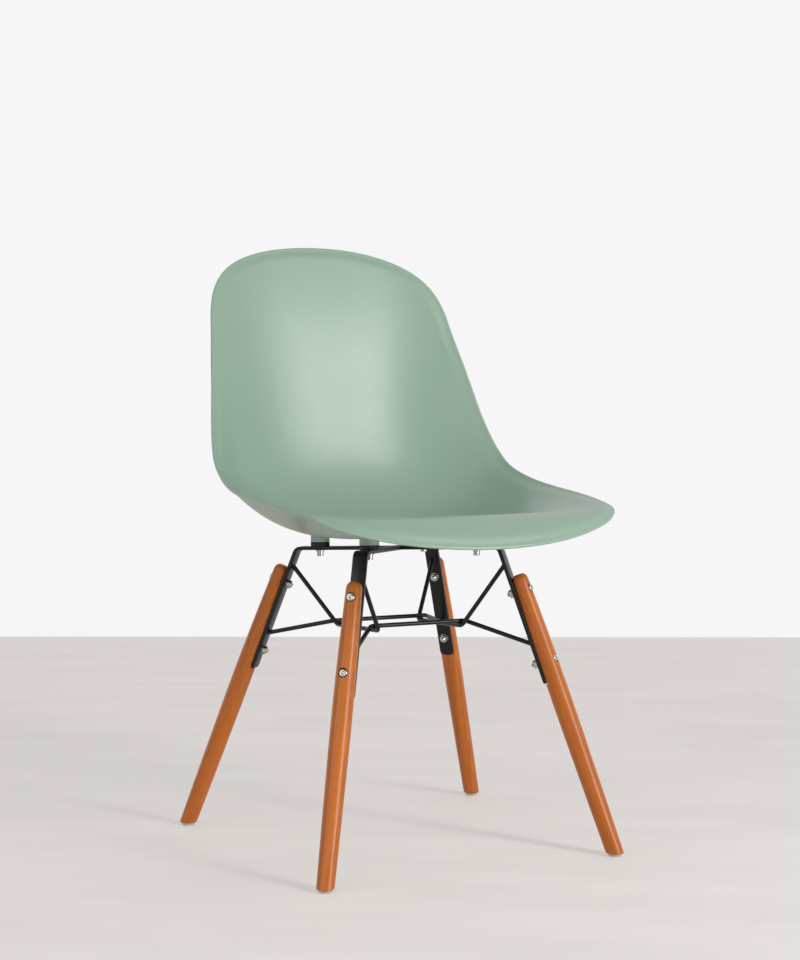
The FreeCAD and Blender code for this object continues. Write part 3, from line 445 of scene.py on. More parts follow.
def bar_surface(front, back, lap):
    """Flat bar carried along its path: strap end, bend, crossing, bend, strap end. The width
    follows the rounded corners of the ends, and at the crossing half of the thickness is cut
    away: the lower half where lap is 1, the upper half where it is -1."""
    half, thick = FRAME["bar_width"] / 2, FRAME["bar_thickness"] / 2
    forward = bar_direction(front)
    ends, bends = [], []
    for corner, sign in ((front, 1), (back, -1)):
        lean = lean_of(corner)
        bend = np.array([sign * FRAME["bend_reach"], 0.0])
        down = np.array([sign * math.sin(lean), -math.cos(lean)])
        ends.append(bend + down * strap_length(corner))
        bends.append(bend)
    round_end = FRAME["strap_corner"]
    turn = np.linspace(0, math.pi / 2, 7)
    inset = FRAME["bar_edge"] * (1 - np.cos(turn[::-1]))
    reach = FRAME["bar_edge"] * (1 - np.sin(turn[::-1]))
    plan = np.linspace(0, 1, 14)[1:] ** 2 * round_end + FRAME["bar_edge"]
    near = np.concatenate([reach, plan])
    cut_in = np.concatenate([inset, np.zeros(len(plan))])
    narrow = round_end - np.sqrt(np.maximum(round_end ** 2 - np.maximum(round_end - near, 0) ** 2, 0))

    def strap_rows(end, bend):
        along = unit(bend - end)
        return end + near[:, None] * along

    path = [strap_rows(ends[0], bends[0]),
            arc_between(ends[0], bends[0], bends[1], FRAME["bend_radius"]),
            np.array([[half + FRAME["lap_gap"], 0.0], [half + FRAME["lap_gap"], 0.0],
                      [-half - FRAME["lap_gap"], 0.0], [-half - FRAME["lap_gap"], 0.0]]),
            arc_between(bends[0], bends[1], ends[1], FRAME["bend_radius"]),
            strap_rows(ends[1], bends[1])[::-1]]
    counts = [len(block) for block in path]
    path = np.vstack(path)
    wide = np.full(len(path), half)
    wide[:counts[0]] -= narrow + cut_in
    wide[-counts[0]:] -= (narrow + cut_in)[::-1]
    low, high = np.full(len(path), -thick), np.full(len(path), thick)
    for block in (slice(0, counts[0]), slice(len(path) - counts[0], None)):
        trim = cut_in if block.start == 0 else cut_in[::-1]
        low[block] += trim
        high[block] -= trim
    crossing = slice(counts[0] + counts[1] + 1, counts[0] + counts[1] + 3)
    (low if lap > 0 else high)[crossing] = lap * FRAME["lap_gap"] / 2
    # square to the path, the crossing's doubled rows taking the bar's own direction
    run = np.gradient(path, axis=0)
    run[crossing.start - 1:crossing.stop + 1] = [-1.0, 0.0]
    for block, towards in ((slice(0, counts[0]), bends[0] - ends[0]),
                           (slice(len(path) - counts[0], None), ends[1] - bends[1])):
        run[block] = towards
    run = unit(run)
    across, up = flat_section(wide, low, high, FRAME["bar_edge"])
    square = np.stack([run[:, 1], -run[:, 0]], -1)
    place = path[:, None] + up[..., None] * square[:, None]
    side = np.cross([0.0, 0.0, 1.0], forward)
    points = (place[..., :1] * forward + place[..., 1:] * np.array([0.0, 0.0, 1.0])
              + across[..., None] * side)
    # the lap's edges follow the other bar, which doesn't cross quite squarely
    skew = 1 / math.tan(math.radians(2 * FRAME["bar_angle"])) * np.sign(forward[0] * forward[1])
    lap_rows = slice(crossing.start - 1, crossing.stop + 1)
    points[lap_rows] += (across[lap_rows] * skew)[..., None] * forward
    return surface(from_frame(points))


def wire_path(first, last, middle, depths):
    """Points of a wire's middle line: strap, rounded ring corner, rounded ring corner, strap.
    Returned in the chair's frame with its ends on the straps' inner faces."""
    inner = -FRAME["bar_thickness"] / 2
    knots = [on_strap(first, [0, 0, -depths[0]])] + [from_frame(p) for p in middle]
    knots.append(on_strap(last, [0, 0, -depths[1]]))
    for end, beside, corner in ((0, 1, first), (-1, -2, last)):
        normal = strap_place(corner)[1][0]
        run = unit(knots[beside] - knots[end])
        knots[end] = knots[end] + run * inner / float(run @ normal)
    rows = [knots[0][None]]
    for before, corner, after in zip(knots, knots[1:], knots[2:]):
        rows.append(arc_between(before, corner, after, WIRE["bend"]))
    return np.vstack(rows + [knots[-1][None]])


def wire_surface(path, first, last, columns=24):
    """Round wire carried along its path. Each end row is slid along the wire until it lies just
    inside the strap's inner face."""
    run = unit(np.gradient(path, axis=0))
    run[0], run[-1] = unit(path[1] - path[0]), unit(path[-1] - path[-2])
    side = unit(np.cross(run, FRAME_AXES[2]))
    other = np.cross(side, run)
    section = spokes(angles(columns), side[:, None], other[:, None]) * WIRE["radius"]
    points = path[:, None] + section
    for row, corner in ((0, first), (-1, last)):
        normal = strap_place(corner)[1][0]
        slide = (section[row] @ normal) / float(run[row] @ normal)
        points[row] -= slide[:, None] * run[row]
    return surface(points)


def end_weld(path, corner, phase, columns=40, rows=9):
    """Weld bead round a wire's end: a hollow quarter-round from the wire's side to the strap,
    its size swelling a little round the wire."""
    normal = strap_place(corner)[1][0]
    run = unit(path[1] - path[0])
    side = unit(np.cross(run, normal))
    other = np.cross(side, run)
    angle = angles(columns)
    swell = WIRE["weld"] * (1 + 0.16 * np.sin(3 * angle + phase) + 0.10 * np.sin(7 * angle - phase))
    turn = np.linspace(-0.1, 1, rows)[:, None] * math.pi / 2
    reach = WIRE["radius"] - 0.2 + swell * (1 - np.sin(np.maximum(turn, 0)))
    lift = swell * (1 - np.cos(turn)) * np.where(turn < 0, -4, 1)
    about = spokes(angle, side, other)
    foot = -(about @ normal) / float(run @ normal)
    points = path[0] + reach[..., None] * about + (lift + reach * foot)[..., None] * run
    return surface(points)


def crossing_weld(middle, run_a, run_b, phase, columns=28, rows=17):
    """Small uneven bead where two wires cross: an oblong ball, wider along both wires."""
    turn = np.linspace(0, math.pi, rows)[1:-1, None]
    angle = angles(columns)[None]
    uneven = 1 + 0.10 * np.sin(4 * angle + phase) * np.sin(turn) + 0.07 * np.cos(3 * turn + phase)
    across = unit(np.cross(run_a, run_b))
    ball = (4.1 * np.sin(turn) * np.cos(angle) * uneven)[..., None] * unit(run_a + run_b)
    ball = ball + (4.1 * np.sin(turn) * np.sin(angle) * uneven)[..., None] * unit(run_a - run_b)
    ball = ball + (2.3 * np.cos(turn) * uneven)[..., None] * across
    return surface(middle + ball)


# Legs and fastenings

def leg_place(corner):
    """Top of a leg's axis, and three rows: outwards, across and down along the axis."""
    origin, axes = strap_place(corner)
    top = origin + axes[0] * LEG["offset"] - axes[2] * leg_drop(corner)
    return top, np.stack([axes[0], axes[1], -axes[2]])


def leg_radius(down):
    """Radius of the leg at a distance down from its top: a quarter-round crown, then a side with
    a slight belly."""
    stations = np.array([LEG[key] for key in ("crown_drop", "upper_at", "belly_at", "lower_at",
                                              "foot_at")])
    radii = np.array([LEG[key] for key in ("top", "upper", "belly", "lower", "foot")])
    side = smooth_curve(stations, radii, down)
    t = np.clip(down / LEG["crown_drop"], 0, 1)
    crown = LEG["crown"] + (LEG["top"] - LEG["crown"]) * np.sqrt(1 - (1 - t) ** 2)
    return np.where(down < LEG["crown_drop"], crown, side)


def leg_grid(corner):
    """Leg as rows down its length and columns round it, in (out, across, down) from the top of
    its axis. The columns on the outer side run straight, and round each screw the grid's squares
    are drawn into circles that step down to the counterbore's floor. The columns on the inner
    side lie on the flat that seats the strap. The rows end 330 mm down the axis, short of the glide."""
    bore, patch, half_columns = LEG["bore_radius"], 9.8, 12
    flat = LEG["offset"] - FRAME["bar_thickness"] / 2
    recess_end = strap_length(corner) + LEG["recess_gap"] - leg_drop(corner)
    screws = (LEG["screw_at"], LEG["screw_at"] + LEG["screw_spacing"])
    crown = LEG["crown_drop"] * (1 - np.cos(np.linspace(0, math.pi / 2, 12)))
    square = np.linspace(-patch, patch, 2 * half_columns + 1)
    blocks = [crown, np.linspace(crown[-1], screws[0] - patch, 4)[1:-1],
              screws[0] + square, np.linspace(screws[0] + patch, screws[1] - patch, 30)[1:-1],
              screws[1] + square,
              np.linspace(screws[1] + patch, recess_end, 8)[1:], [recess_end],
              np.linspace(recess_end, 330.0, 60)[1:]]
    down = np.concatenate(blocks)
    radius = leg_radius(down)
    flat_turn = np.pi - np.arccos(np.minimum(flat / radius, math.cos(0.12)))
    # columns: straight ones on the outer side, then round, then over the flat, and back round
    share = np.linspace(-1, 1, 2 * half_columns + 1)
    patch_turn = np.arcsin(np.clip(patch / radius, 0, 0.8))
    outer = np.arcsin(np.clip(share[None] * np.minimum(patch / radius, 0.8)[:, None], -1, 1))
    t = np.linspace(0, 1, 18)[1:]
    side = patch_turn[:, None] * (1 - t) + flat_turn[:, None] * t
    over = np.linspace(-1, 1, 15)[1:-1]
    over = np.pi + over[None] * (np.pi - flat_turn)[:, None]
    angle = np.hstack([outer, side, over, 2 * np.pi - side[:, ::-1]])
    points = np.stack([radius[:, None] * np.cos(angle), radius[:, None] * np.sin(angle),
                       np.broadcast_to(down[:, None], angle.shape)], -1)
    # the strap's flat, from the top to the recess's end
    recessed = np.arange(len(down)) < sum(len(block) for block in blocks[:-2])
    points[recessed, :, 0] = np.maximum(points[recessed, :, 0], -flat)
    # the counterbores
    p, q = np.meshgrid(share, share, indexing="ij")
    ring = np.round(np.maximum(np.abs(p), np.abs(q)) * half_columns)
    length = np.maximum(np.hypot(p, q), 1e-9)
    wall, rim = half_columns // 2, half_columns // 2 + 2
    reach = np.where(ring <= wall, bore * ring / wall, bore + 0.35 * (ring - wall - 1))
    spread = np.clip((ring - rim) / (half_columns - rim), 0, 1)
    reach = np.where(ring > rim, bore + 0.35 + (ring - rim) * 0.7, reach)
    y = (1 - spread) * reach * q / length + spread * patch * q
    z = (1 - spread) * reach * p / length + spread * patch * p
    for screw in screws:
        first = int(np.argmin(np.abs(down - (screw - patch))))
        block = slice(first, first + 2 * half_columns + 1)
        over_at = leg_radius(screw + z)
        x = np.sqrt(np.maximum(over_at ** 2 - y ** 2, 0))
        x = np.where(ring == wall + 1, x - 0.25, x)
        x = np.where(ring <= wall, LEG["bore_floor"], x)
        points[block, :2 * half_columns + 1] = np.stack([x, y, screw + z], -1)
    return points


def leg_surface(corner):
    """The leg's grid in the chair's frame, run on to the foot, which is cut level at the top of
    the glide with a small bevel."""
    grid = leg_grid(corner)
    top, axes = leg_place(corner)
    points = top + grid @ axes
    # foot: each column runs on until its height is that of the glide's top
    last = grid[-1]
    turn = np.arctan2(last[:, 1], last[:, 0])
    bevel = LEG["foot_bevel"]

    def foot_row(height, inset):
        down = np.full(len(turn), 400.0)
        for _ in range(12):
            radius = leg_radius(down) - inset
            level = (radius * np.cos(turn))[:, None] * axes[0] + (
                radius * np.sin(turn))[:, None] * axes[1]
            down = (top[2] + level[:, 2] - height) / -axes[2][2]
        return np.stack([radius * np.cos(turn), radius * np.sin(turn), down], -1)

    edge = foot_row(LEG["ground"] + bevel, 0.0)
    share = np.linspace(0, 1, 16)[1:, None, None]
    side = last[None] * (1 - share) + edge[None] * share
    side[..., :2] = last[None, :, :2] / np.linalg.norm(
        last[:, :2], axis=-1)[None, :, None] * leg_radius(side[..., 2])[..., None]
    rows = [side]
    for t in (0.5, 1.0):
        rows.append(foot_row(LEG["ground"] + bevel * (1 - t), bevel * t)[None])
    rows = top + np.vstack(rows) @ axes
    return surface(np.vstack([points, rows]))


def hexagon_radius(flats, columns):
    """Radius of a hexagon at each column's angle: half its flats over the cosine of the angle
    from the middle of the nearest side."""
    return flats / 2 / np.cos(np.mod(angles(columns), math.pi / 3) - math.pi / 6)


def threaded_end(start, length, origin, axes, radius=3.0, pitch=1.0, columns=36):
    """End of a screw: its radius drops by the thread's depth along a helix, and fades into a
    small cone at the tip."""
    rows = int(length / pitch * 10) + 1
    along = np.linspace(0, length, rows)[:, None]
    angle = angles(columns)[None]
    thread_depth, tip_length, tip_drop = 0.45, 0.8, 0.75
    turn = np.mod(along / pitch - angle / (2 * math.pi), 1.0)
    depth = thread_depth * np.abs(2 * turn - 1)
    tip = np.clip((along - (length - tip_length)) / tip_length, 0, 1)
    reach = np.minimum(radius - depth, radius - tip_drop * tip)
    points = origin + (start + along)[..., None] * axes[0]
    return surface(points + reach[..., None] * spokes(angle, axes[1], axes[2]))


def button_head(origin, axes, radius, height, flats, depth, columns=60):
    """Round head with a hexagon socket: a short upright edge, a domed side, a flat round the
    socket, then the socket's six walls and its cone-shaped floor."""
    socket = hexagon_radius(flats, columns)
    dome = [(height * (0.36 + 0.64 * math.sin(t)), radius - (radius - 3.0) * (1 - math.cos(t)))
            for t in np.linspace(0, math.pi / 2, 9)]
    rows = [(-0.2, radius * 0.5), (-0.02, radius - 0.25), (0.2, radius)] + dome
    rows += [(height, socket + 0.25), (height - 0.25, socket), (height - depth, socket),
             (height - depth - 0.5, 0.4)]
    return turned(rows, origin, axes, columns)


def hexagon_nut(origin, axes, flats, height, columns=72):
    """Nut with its outer corners turned away by a cone on both faces, and a bore bevelled into
    the face that shows."""
    six = hexagon_radius(flats, columns)
    cone = flats / 2 * 0.97
    drop = (six - cone) * 0.55
    about = spokes(angles(columns), axes[1], axes[2])
    bore, bevel = 3.0, 0.6
    rows = [(0, bore), (0, cone), (drop, six), (height - drop, six), (height, cone),
            (height, bore + bevel), (height - bevel, bore)]
    points = np.stack([origin + np.reshape(along, (-1, 1)) * axes[0]
                       + np.reshape(reach, (-1, 1)) * about for along, reach in rows])
    return surface(points, ring=True)


# Shader groups, each shared by several materials

def new_group(name, inputs, outputs):
    """Node group with named inputs (name, kind, default) and outputs (name, kind)."""
    tree = bpy.data.node_groups.new(name, "ShaderNodeTree")
    for label, kind, default in inputs:
        socket = tree.interface.new_socket(label, in_out="INPUT", socket_type="NodeSocket" + kind)
        if default is not None:
            socket.default_value = default
    for label, kind in outputs:
        tree.interface.new_socket(label, in_out="OUTPUT", socket_type="NodeSocket" + kind)
    return tree, tree.nodes.new("NodeGroupInput"), tree.nodes.new("NodeGroupOutput")


def add(tree, kind, inputs=None, **settings):
    """Node of this kind with its settings, and its inputs set or linked by name or number."""
    node = tree.nodes.new("ShaderNode" + kind)
    for key, setting in settings.items():
        setattr(node, key, setting)
    for key, given in (inputs or {}).items():
        if isinstance(given, bpy.types.NodeSocket):
            tree.links.new(given, node.inputs[key])
        else:
            node.inputs[key].default_value = given
    return node


def maths(tree, operation, first, second=0.0, third=None):
    """One Math node's output."""
    inputs = {0: first, 1: second}
    if third is not None:
        inputs[2] = third
    return add(tree, "Math", inputs, operation=operation).outputs[0]


def mixed_value(tree, factor, first, second):
    """First value where the factor is 0, second where it is 1."""
    step = maths(tree, "MULTIPLY", factor, second - first)
    return maths(tree, "ADD", step, first)


def mixed(tree, factor, first, second):
    """Colour between two colours."""
    return add(tree, "Mix", {0: factor, 6: first, 7: second}, data_type="RGBA").outputs[2]


def colour(red, green, blue):
    """Colour given as it looks on a screen, 0 to 255, in the linear values that shaders take."""
    share = [v / 255 for v in (red, green, blue)]
    return tuple(v / 12.92 if v <= 0.04045 else ((v + 0.055) / 1.055) ** 2.4 for v in share) + (1.0,)


def uneven_tint_group():
    """Broad soft patches: the colour is mixed towards a darker and a lighter one by slow noise."""
    tree, given, out = new_group("uneven_tint", [
        ("Vector", "Vector", None), ("Colour", "Color", (0.5, 0.5, 0.5, 1.0)),
        ("Patch Scale", "Float", 8.0), ("Amount", "Float", 0.05)],
        [("Colour", "Color"), ("Patches", "Float")])
    patches = add(tree, "TexNoise", {"Vector": given.outputs["Vector"],
                                     "Scale": given.outputs["Patch Scale"],
                                     "Detail": 3.0, "Roughness": 0.55}).outputs["Fac"]
    signed = maths(tree, "MULTIPLY", maths(tree, "SUBTRACT", patches, 0.5), 2.0)
    level = maths(tree, "MULTIPLY_ADD", signed, given.outputs["Amount"], 1.0)
    tinted = add(tree, "VectorMath", {0: given.outputs["Colour"], "Scale": level},
                 operation="SCALE").outputs[0]
    tree.links.new(tinted, out.inputs["Colour"])
    tree.links.new(patches, out.inputs["Patches"])
    return tree


def fine_skin_group():
    """Fine texture of a moulded or coated skin: small round cells softened by finer noise."""
    tree, given, out = new_group("fine_skin", [
        ("Vector", "Vector", None), ("Cell Scale", "Float", 900.0), ("Noise Scale", "Float", 2500.0),
        ("Noise Share", "Float", 0.4)], [("Height", "Float")])
    cells = add(tree, "TexVoronoi", {"Vector": given.outputs["Vector"],
                                     "Scale": given.outputs["Cell Scale"]},
                feature="SMOOTH_F1").outputs["Distance"]
    noise = add(tree, "TexNoise", {"Vector": given.outputs["Vector"],
                                   "Scale": given.outputs["Noise Scale"],
                                   "Detail": 2.0}).outputs["Fac"]
    share = given.outputs["Noise Share"]
    height = maths(tree, "ADD", maths(tree, "MULTIPLY", noise, share),
                   maths(tree, "MULTIPLY", cells, maths(tree, "SUBTRACT", 1.0, share)))
    tree.links.new(height, out.inputs["Height"])
    return tree


def rubbed_marks_group():
    """Sparse fine marks of handling: thin lines of stretched noise inside slow patches."""
    tree, given, out = new_group("rubbed_marks", [
        ("Vector", "Vector", None), ("Mark Scale", "Float", 120.0), ("Sparseness", "Float", 0.62)],
        [("Mask", "Float")])
    stretched = add(tree, "Mapping", {"Vector": given.outputs["Vector"],
                                      "Rotation": (0.5, 0.3, 0.9), "Scale": (1.0, 0.08, 0.5)})
    lines = add(tree, "TexNoise", {"Vector": stretched.outputs[0],
                                   "Scale": given.outputs["Mark Scale"],
                                   "Detail": 4.0, "Roughness": 0.7}).outputs["Fac"]
    patches = add(tree, "TexNoise", {"Vector": given.outputs["Vector"], "Scale": 14.0}).outputs["Fac"]
    cut = add(tree, "MapRange", {0: maths(tree, "MULTIPLY", lines, maths(tree, "ADD", patches, 0.5)),
                                 1: given.outputs["Sparseness"], 2: 0.85, 3: 0.0, 4: 1.0})
    tree.links.new(cut.outputs[0], out.inputs["Mask"])
    return tree


def wood_grain_group():
    """Straight-grained stained wood, its fibres along Z: growth rings round a pith well outside
    the leg, bent by slow noise; long fibres and fine pores are noise stretched along Z."""
    tree, given, out = new_group("wood_grain", [
        ("Vector", "Vector", None), ("Light", "Color", (0.5, 0.5, 0.5, 1.0)),
        ("Dark", "Color", (0.2, 0.2, 0.2, 1.0)), ("Ring Width", "Float", 0.0019),
        ("Ring Share", "Float", 0.26), ("Pore Share", "Float", 0.24)],
        [("Colour", "Color"), ("Roughness", "Float"), ("Height", "Float")])
    place = given.outputs["Vector"]

    def stretched_noise(across, along, detail, roughness=0.6):
        scaled = add(tree, "Mapping", {"Vector": place, "Scale": (across, across, along)})
        return add(tree, "TexNoise", {"Vector": scaled.outputs[0], "Scale": 1.0, "Detail": detail,
                                      "Roughness": roughness}).outputs["Fac"]

    wander = stretched_noise(22.0, 3.0, 2.0)
    parts = add(tree, "SeparateXYZ", {0: place})
    lean = maths(tree, "MULTIPLY", parts.outputs[2], 0.035)
    x = maths(tree, "ADD", maths(tree, "ADD", parts.outputs[0], lean), 0.047)
    y = maths(tree, "ADD", parts.outputs[1], 0.021)
    distance = maths(tree, "SQRT", maths(tree, "ADD", maths(tree, "MULTIPLY", x, x),
                                         maths(tree, "MULTIPLY", y, y)))
    distance = maths(tree, "ADD", distance, maths(tree, "MULTIPLY", wander, 0.006))
    rings = maths(tree, "FRACT", maths(tree, "DIVIDE", distance, given.outputs["Ring Width"]))
    late = add(tree, "ValToRGB", {0: rings})
    late.color_ramp.elements[0].color = (0.0, 0.0, 0.0, 1.0)
    late.color_ramp.elements[0].position = 0.15
    late.color_ramp.elements[1].color = (1.0, 1.0, 1.0, 1.0)
    late.color_ramp.elements[1].position = 0.82
    late.color_ramp.elements.new(0.97).color = (0.1, 0.1, 0.1, 1.0)
    fibres = stretched_noise(480.0, 7.0, 4.0, 0.65)
    broad = stretched_noise(60.0, 2.4, 2.0)
    pores = add(tree, "MapRange", {0: stretched_noise(1500.0, 42.0, 2.0, 0.5),
                                   1: 0.60, 2: 0.74, 3: 0.0, 4: 1.0}).outputs[0]
    ring_part = maths(tree, "MULTIPLY", late.outputs[0], given.outputs["Ring Share"])
    fibre_part = maths(tree, "MULTIPLY", maths(tree, "SUBTRACT", fibres, 0.35), 0.6)
    broad_part = maths(tree, "MULTIPLY", maths(tree, "SUBTRACT", broad, 0.42), 0.9)
    pore_part = maths(tree, "MULTIPLY", pores, given.outputs["Pore Share"])
    darkness = maths(tree, "ADD", maths(tree, "ADD", ring_part, fibre_part),
                     maths(tree, "ADD", broad_part, pore_part))
    held = add(tree, "Clamp", {0: darkness}).outputs[0]
    tree.links.new(mixed(tree, held, given.outputs["Light"], given.outputs["Dark"]),
                   out.inputs["Colour"])
    tree.links.new(maths(tree, "MULTIPLY_ADD", fibres, 0.16, 0.30), out.inputs["Roughness"])
    tree.links.new(maths(tree, "SUBTRACT", fibres, maths(tree, "MULTIPLY", pores, 1.2)),
                   out.inputs["Height"])
    return tree


UNEVEN_TINT = uneven_tint_group()
FINE_SKIN = fine_skin_group()
RUBBED_MARKS = rubbed_marks_group()
WOOD_GRAIN = wood_grain_group()


# Materials

def new_material(name, **shader):
    """Material with a Principled shader whose constants are set, and its tree and coordinates."""
    material = bpy.data.materials.new(name)
    material.use_nodes = True
    tree = material.node_tree
    principled = tree.nodes["Principled BSDF"]
    for key, constant in shader.items():
        socket = key.replace("_", " ").title().replace("Ior", "IOR")
        principled.inputs[socket].default_value = constant
    place = add(tree, "TexCoord").outputs["Object"]
    return material, tree, principled, place


def placed(tree, group, **inputs):
    """A shader group in a material, its inputs set or linked."""
    node = tree.nodes.new("ShaderNodeGroup")
    node.node_tree = group
    for key, given in inputs.items():
        key = key.replace("_", " ").title()
        if isinstance(given, bpy.types.NodeSocket):
            tree.links.new(given, node.inputs[key])
        else:
            node.inputs[key].default_value = given
    return node


def dressed(tree, principled, base, roughness, height=None, distance=0.0, strength=1.0):
    """Links a colour and a roughness to the shader, and raises its shading by a height over a
    distance in metres. roughness is (mask, more on the mask, least) or a socket."""
    if isinstance(roughness, tuple):
        roughness = maths(tree, "MULTIPLY_ADD", *roughness)
    tree.links.new(base, principled.inputs["Base Color"])
    tree.links.new(roughness, principled.inputs["Roughness"])
    if height is not None:
        node = add(tree, "Bump", {"Height": height, "Distance": distance, "Strength": strength})
        tree.links.new(node.outputs[0], principled.inputs["Normal"])


def moulded_plastic():
    """Satin sage-green plastic with a fine moulded skin and barely uneven colour."""
    material, tree, principled, place = new_material(
        "shell_plastic", specular_ior_level=0.78, coat_weight=0.0)
    tint = placed(tree, UNEVEN_TINT, vector=place, colour=colour(142, 168, 150),
                  patch_scale=5.0, amount=0.03)
    skin = placed(tree, FINE_SKIN, vector=place, cell_scale=1400.0, noise_scale=3200.0)
    slow = add(tree, "TexNoise", {"Vector": place, "Scale": 22.0, "Detail": 2.0}).outputs["Fac"]
    dressed(tree, principled, tint.outputs["Colour"], (slow, 0.06, 0.35),
            skin.outputs["Height"], 0.00004, 0.6)
    return material


def black_coat():
    """Satin black powder coat: orange-peel skin, slightly greyer where it has been rubbed."""
    material, tree, principled, place = new_material("black_coat", specular_ior_level=0.32)
    tint = placed(tree, UNEVEN_TINT, vector=place, colour=(0.0045, 0.0045, 0.0050, 1.0),
                  patch_scale=30.0, amount=0.12)
    marks = placed(tree, RUBBED_MARKS, vector=place, mark_scale=260.0, sparseness=0.60)
    skin = placed(tree, FINE_SKIN, vector=place, cell_scale=750.0, noise_scale=1900.0,
                  noise_share=0.35)
    rubbed = mixed(tree, maths(tree, "MULTIPLY", marks.outputs["Mask"], 0.5),
                   tint.outputs["Colour"], (0.018, 0.018, 0.019, 1.0))
    dressed(tree, principled, rubbed, (skin.outputs["Height"], 0.12, 0.27),
            skin.outputs["Height"], 0.00006, 0.8)
    return material


def metal(name, shade, patch_scale, amount, mark_scale, roughness):
    """Bare metal: cloudy colour and fine turning marks, rougher and a little raised where they
    are. roughness is given as (away from a mark, more on a mark)."""
    material, tree, principled, place = new_material(name, metallic=1.0)
    tint = placed(tree, UNEVEN_TINT, vector=place, colour=shade, patch_scale=patch_scale,
                  amount=amount)
    marks = placed(tree, RUBBED_MARKS, vector=place, mark_scale=mark_scale, sparseness=0.5)
    dressed(tree, principled, tint.outputs["Colour"], (marks.outputs["Mask"], *roughness[::-1]),
            marks.outputs["Mask"], 0.00002, 0.5)
    return material


def grainy(name, shade, tint_values, skin_values, roughness, raised, **shader):
    """Rubber or plastic with a grainy skin, rougher in its paler patches. roughness is given as
    (least, more in the patches), raised as the bump's (distance, strength)."""
    material, tree, principled, place = new_material(name, **shader)
    tint = placed(tree, UNEVEN_TINT, vector=place, colour=shade, patch_scale=tint_values[0],
                  amount=tint_values[1])
    skin = placed(tree, FINE_SKIN, vector=place, cell_scale=skin_values[0],
                  noise_scale=skin_values[1])
    dressed(tree, principled, tint.outputs["Colour"], (tint.outputs["Patches"], *roughness[::-1]),
            skin.outputs["Height"], *raised)
    return material


def stained_wood(corner):
    """Stained and lacquered wood of one leg, the grain turned to run along that leg's axis."""
    material, tree, principled, place = new_material(
        "stained_wood_" + corner, specular_ior_level=0.25, coat_weight=0.35, coat_roughness=0.27)
    top, axes = leg_place(corner)
    side, end = CORNERS[corner]
    turn = Matrix(axes.T.tolist()).to_euler()
    mapping = add(tree, "Mapping", {"Vector": place, "Location": Vector(top * METRE),
                                    "Rotation": turn}, vector_type="TEXTURE")
    shifted = add(tree, "Mapping", {"Vector": mapping.outputs[0],
                                    "Location": (0.004 * side, 0.009 * end, 0.31 * side + 0.17 * end),
                                    "Rotation": (0.0, 0.0, 0.9 * side + 0.6 * end)})
    grain = placed(tree, WOOD_GRAIN, vector=shifted.outputs[0], light=colour(198, 108, 28),
                   dark=colour(122, 56, 12))
    dressed(tree, principled, grain.outputs["Colour"], grain.outputs["Roughness"],
            grain.outputs["Height"], 0.00008, 0.5)
    return material


PLASTIC = moulded_plastic()
BLACK = black_coat()
ZINC = metal("zinc_steel", colour(186, 184, 179), 180.0, 0.14, 900.0, (0.19, 0.16))
BRASS = metal("brass", colour(206, 168, 98), 150.0, 0.12, 700.0, (0.30, 0.2))
RUBBER = grainy("black_rubber", (0.016, 0.016, 0.017, 1.0), (60.0, 0.2), (1600.0, 3600.0),
                (0.60, 0.15), (0.00008, 0.8), specular_ior_level=0.4)
CLEAR = grainy("clear_plastic", colour(233, 233, 228), (70.0, 0.05), (1200.0, 2600.0),
               (0.32, 0.2), (0.00005, 0.6), transmission_weight=0.55, specular_ior_level=0.5)


# Pieces

piece("shell", [shell_surface()], PLASTIC, "shell_plastic", "seat_shell", sharp=60.0)
piece("shell_bosses", [boss_surface(corner) for corner in CORNERS], PLASTIC, "shell_plastic",
      "seat_shell", sharp=40.0)

BARS = {"frame_bar_upper": ("front_right", "back_left", 1),
        "frame_bar_lower": ("front_left", "back_right", -1)}
for node, (front, back, lap) in BARS.items():
    piece("coated_" + node, [bar_surface(front, back, lap)], BLACK, "black_coat", node, sharp=50.0)

cross_drop = WIRE["side_drop"] - 2 * WIRE["radius"] - FRAME["lap_gap"]
WIRES = {}
for side, sign in (("right", -1), ("left", 1)):
    ring = [np.array([sign * WIRE["side_x"], end * WIRE["side_y"], -WIRE["side_drop"]])
            for end in (-1, 1)]
    WIRES["side_wire_" + side] = ("front_" + side, "back_" + side, ring,
                                  (WIRE["front_upper"], WIRE["back_upper"]))
for end, sign in (("front", -1), ("back", 1)):
    ring = [np.array([side * WIRE["cross_x"], sign * WIRE["cross_y"], -cross_drop])
            for side in (-1, 1)]
    WIRES[end + "_wire"] = (end + "_right", end + "_left", ring, (WIRE[end + "_lower"],) * 2)

for number, (node, (first, last, ring, depths)) in enumerate(WIRES.items()):
    path = wire_path(first, last, ring, depths)
    parts = [wire_surface(path, first, last), end_weld(path, first, number),
             end_weld(path[::-1], last, number + 2.5)]
    piece("coated_" + node, parts, BLACK, "black_coat", node, sharp=60.0)

beads = []
for phase, (side, end) in enumerate(CORNERS.values()):
    height = -(WIRE["side_drop"] + cross_drop) / 2
    middle = from_frame([side * WIRE["side_x"], end * WIRE["cross_y"], height])
    beads.append(crossing_weld(middle, FRAME_AXES[0], FRAME_AXES[1], phase * 1.7))
piece("wire_crossing_welds", beads, BLACK, "black_coat", sharp=60.0)

for corner in CORNERS:
    piece("wood_leg_" + corner, [leg_surface(corner)], stained_wood(corner), "stained_wood",
          "leg_" + corner, sharp=40.0)

